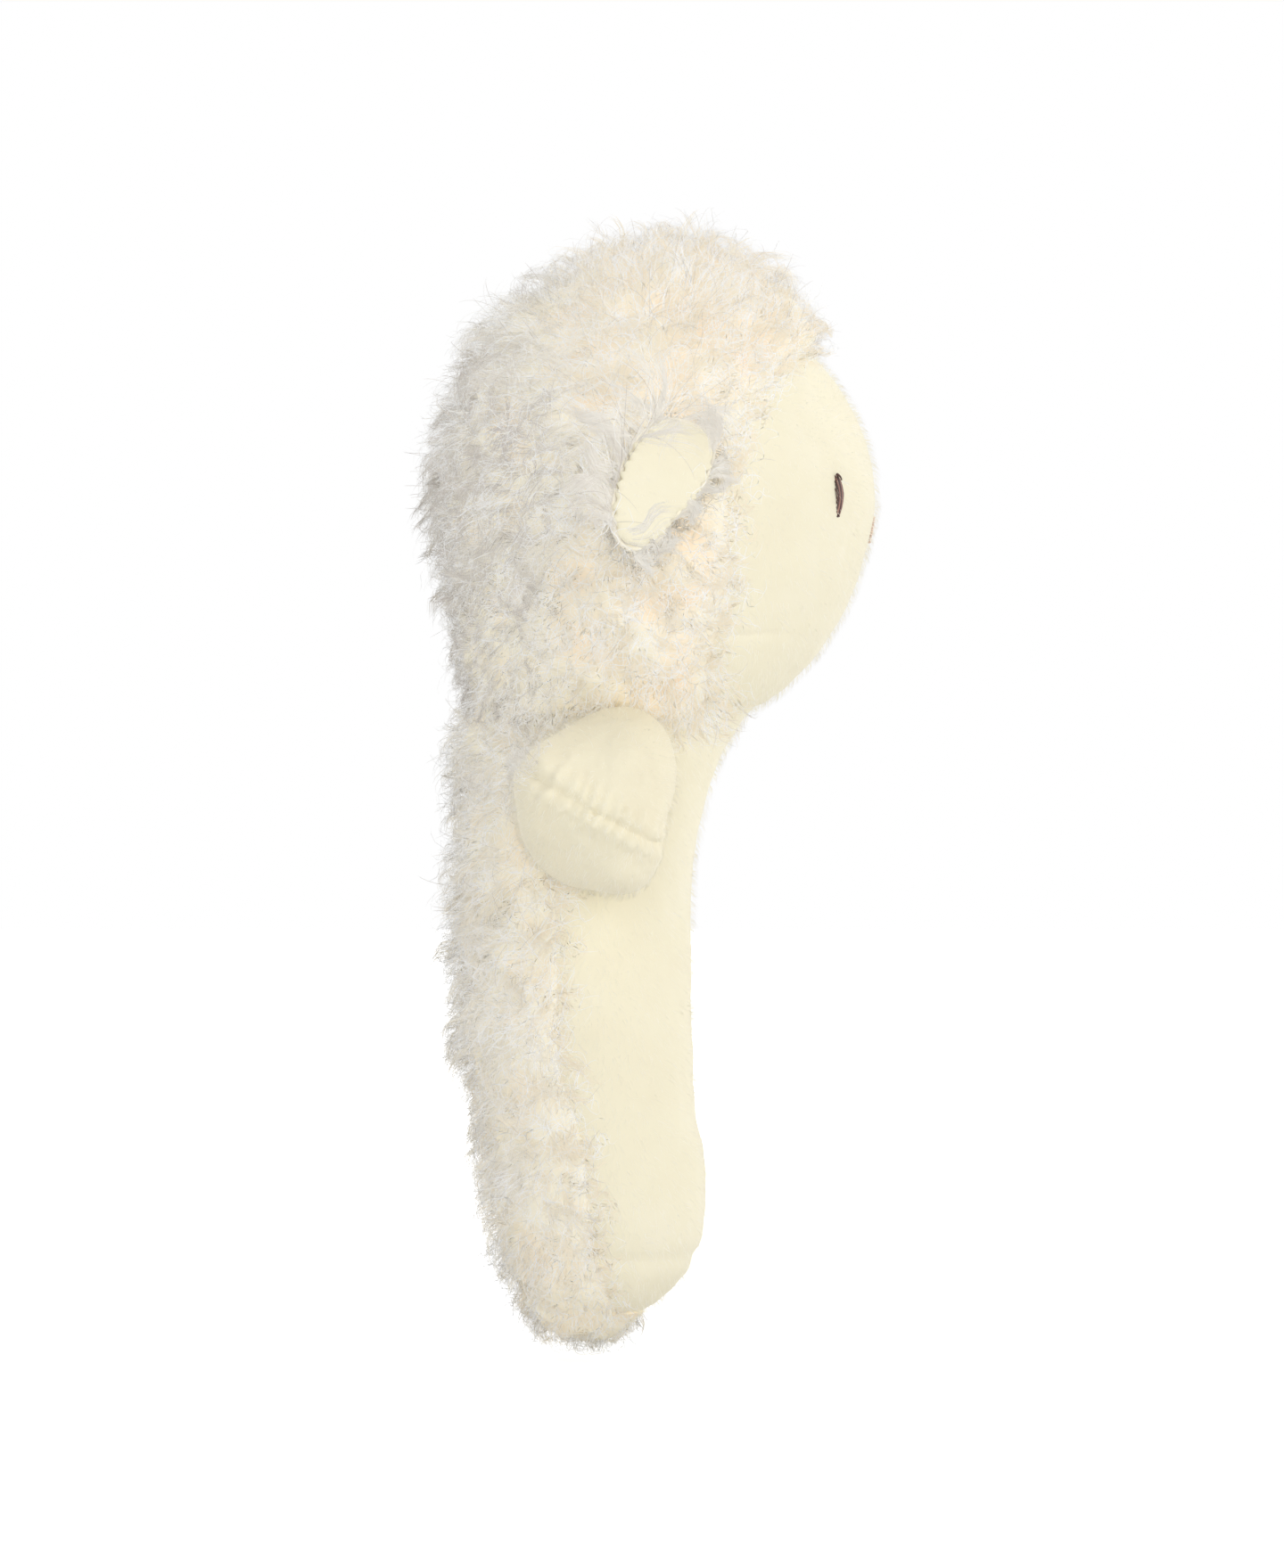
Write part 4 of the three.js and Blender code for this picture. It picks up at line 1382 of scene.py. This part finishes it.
def seen_directly(node):
    """1 for rays from the camera and for those that pass a gloss or a glass, otherwise 0."""
    path = node("LightPath").outputs
    seen = calculated(node, "MAXIMUM", path["Is Camera Ray"], path["Is Glossy Ray"])
    return calculated(node, "MAXIMUM", seen, path["Is Transmission Ray"])


def floor_paper(node):
    """Pale paper that glows towards white with its distance, so that it has no far edge."""
    place = node("TexCoord").outputs["Object"]
    far = node("VectorMath", {0: place}, operation="LENGTH").outputs["Value"]
    fade = node("MapRange", {"Value": far, "From Min": 0.12, "From Max": 0.9, "To Min": 0.42, "To Max": 1.1},
                interpolation_type="SMOOTHSTEP").outputs["Result"]
    glow = node("Emission", {"Strength": calculated(node, "MULTIPLY", seen_directly(node), fade)})
    speck = node("TexNoise", {"Scale": 30}).outputs["Fac"]
    paper = node("BsdfDiffuse", {"Color": ramp(node, FLOOR, speck)})
    return node("AddShader", {0: paper.outputs[0], 1: glow.outputs[0]}).outputs[0]


def studio(node):
    """White where it is seen, and a weak cool light on the lamb."""
    white = node("Background", {"Color": (1, 1, 1, 1), "Strength": 1.0}).outputs[0]
    light = node("Background", {"Color": (0.97, 0.98, 1.0, 1), "Strength": 0.32}).outputs[0]
    return node("MixShader", {0: seen_directly(node), 1: light, 2: white}).outputs[0]


floor_reach = 4000.0
floor_points = np.array([(-1, -1, 0), (1, -1, 0), (1, 1, 0), (-1, 1, 0)]) * floor_reach
floor = mesh_object("floor", floor_points, [(0, 1, 2, 3)], material("floor_paper", floor_paper))
bpy.context.scene.world = shaded(bpy.data.worlds.new("studio"), "OutputWorld", studio)


def added(name, data, place):
    made = bpy.data.objects.new(name, data)
    bpy.context.scene.collection.objects.link(made)
    made.location = place
    return made


# In metres: each lamp's place, size and power
lamp_aim = (0.008, 0.0, 0.09)
white_light = (1, 1, 1)
for name, place, size, power, colour in (
    ("key", (1.05, -0.75, 0.75), 0.9, 6.0, (1.0, 0.985, 0.96)),
    ("front_fill", (-0.15, -1.3, 0.35), 1.0, 5.5, white_light),
    ("left_fill", (-1.1, -0.5, 0.5), 0.9, 2.1, white_light),
    ("back_rim", (-0.6, 1.0, 0.7), 0.9, 6.1, white_light),
    ("face_rim", (0.9, 0.9, 0.5), 0.9, 6.1, white_light),
    ("above", (0.0, 0.0, 1.5), 0.9, 4.8, white_light),
    ("low_front", (1.25, -0.4, 0.16), 0.3, 1.3, white_light),
):
    lamp = bpy.data.lights.new(name, "AREA")
    lamp.shape = "DISK"
    lamp.size = size
    lamp.energy = power
    lamp.color = colour
    stand = added(name, lamp, place)
    stand.rotation_mode = "QUATERNION"
    stand.rotation_quaternion = (Vector(place) - Vector(lamp_aim)).to_track_quat("Z", "Y")

lens = 200.0
sensor = 36.0
frame_width = 0.24424
camera_data = bpy.data.cameras.new("camera")
camera_data.lens = lens
camera_data.sensor_width = sensor
camera_data.clip_start = 0.05
camera_data.clip_end = 20.0
camera = added("camera", camera_data, (0.00764, -lens / sensor * frame_width, 0.0896))
camera.rotation_euler = (math.pi / 2, 0, 0)
bpy.context.scene.camera = camera
bpy.context.scene.view_settings.view_transform = "Standard"
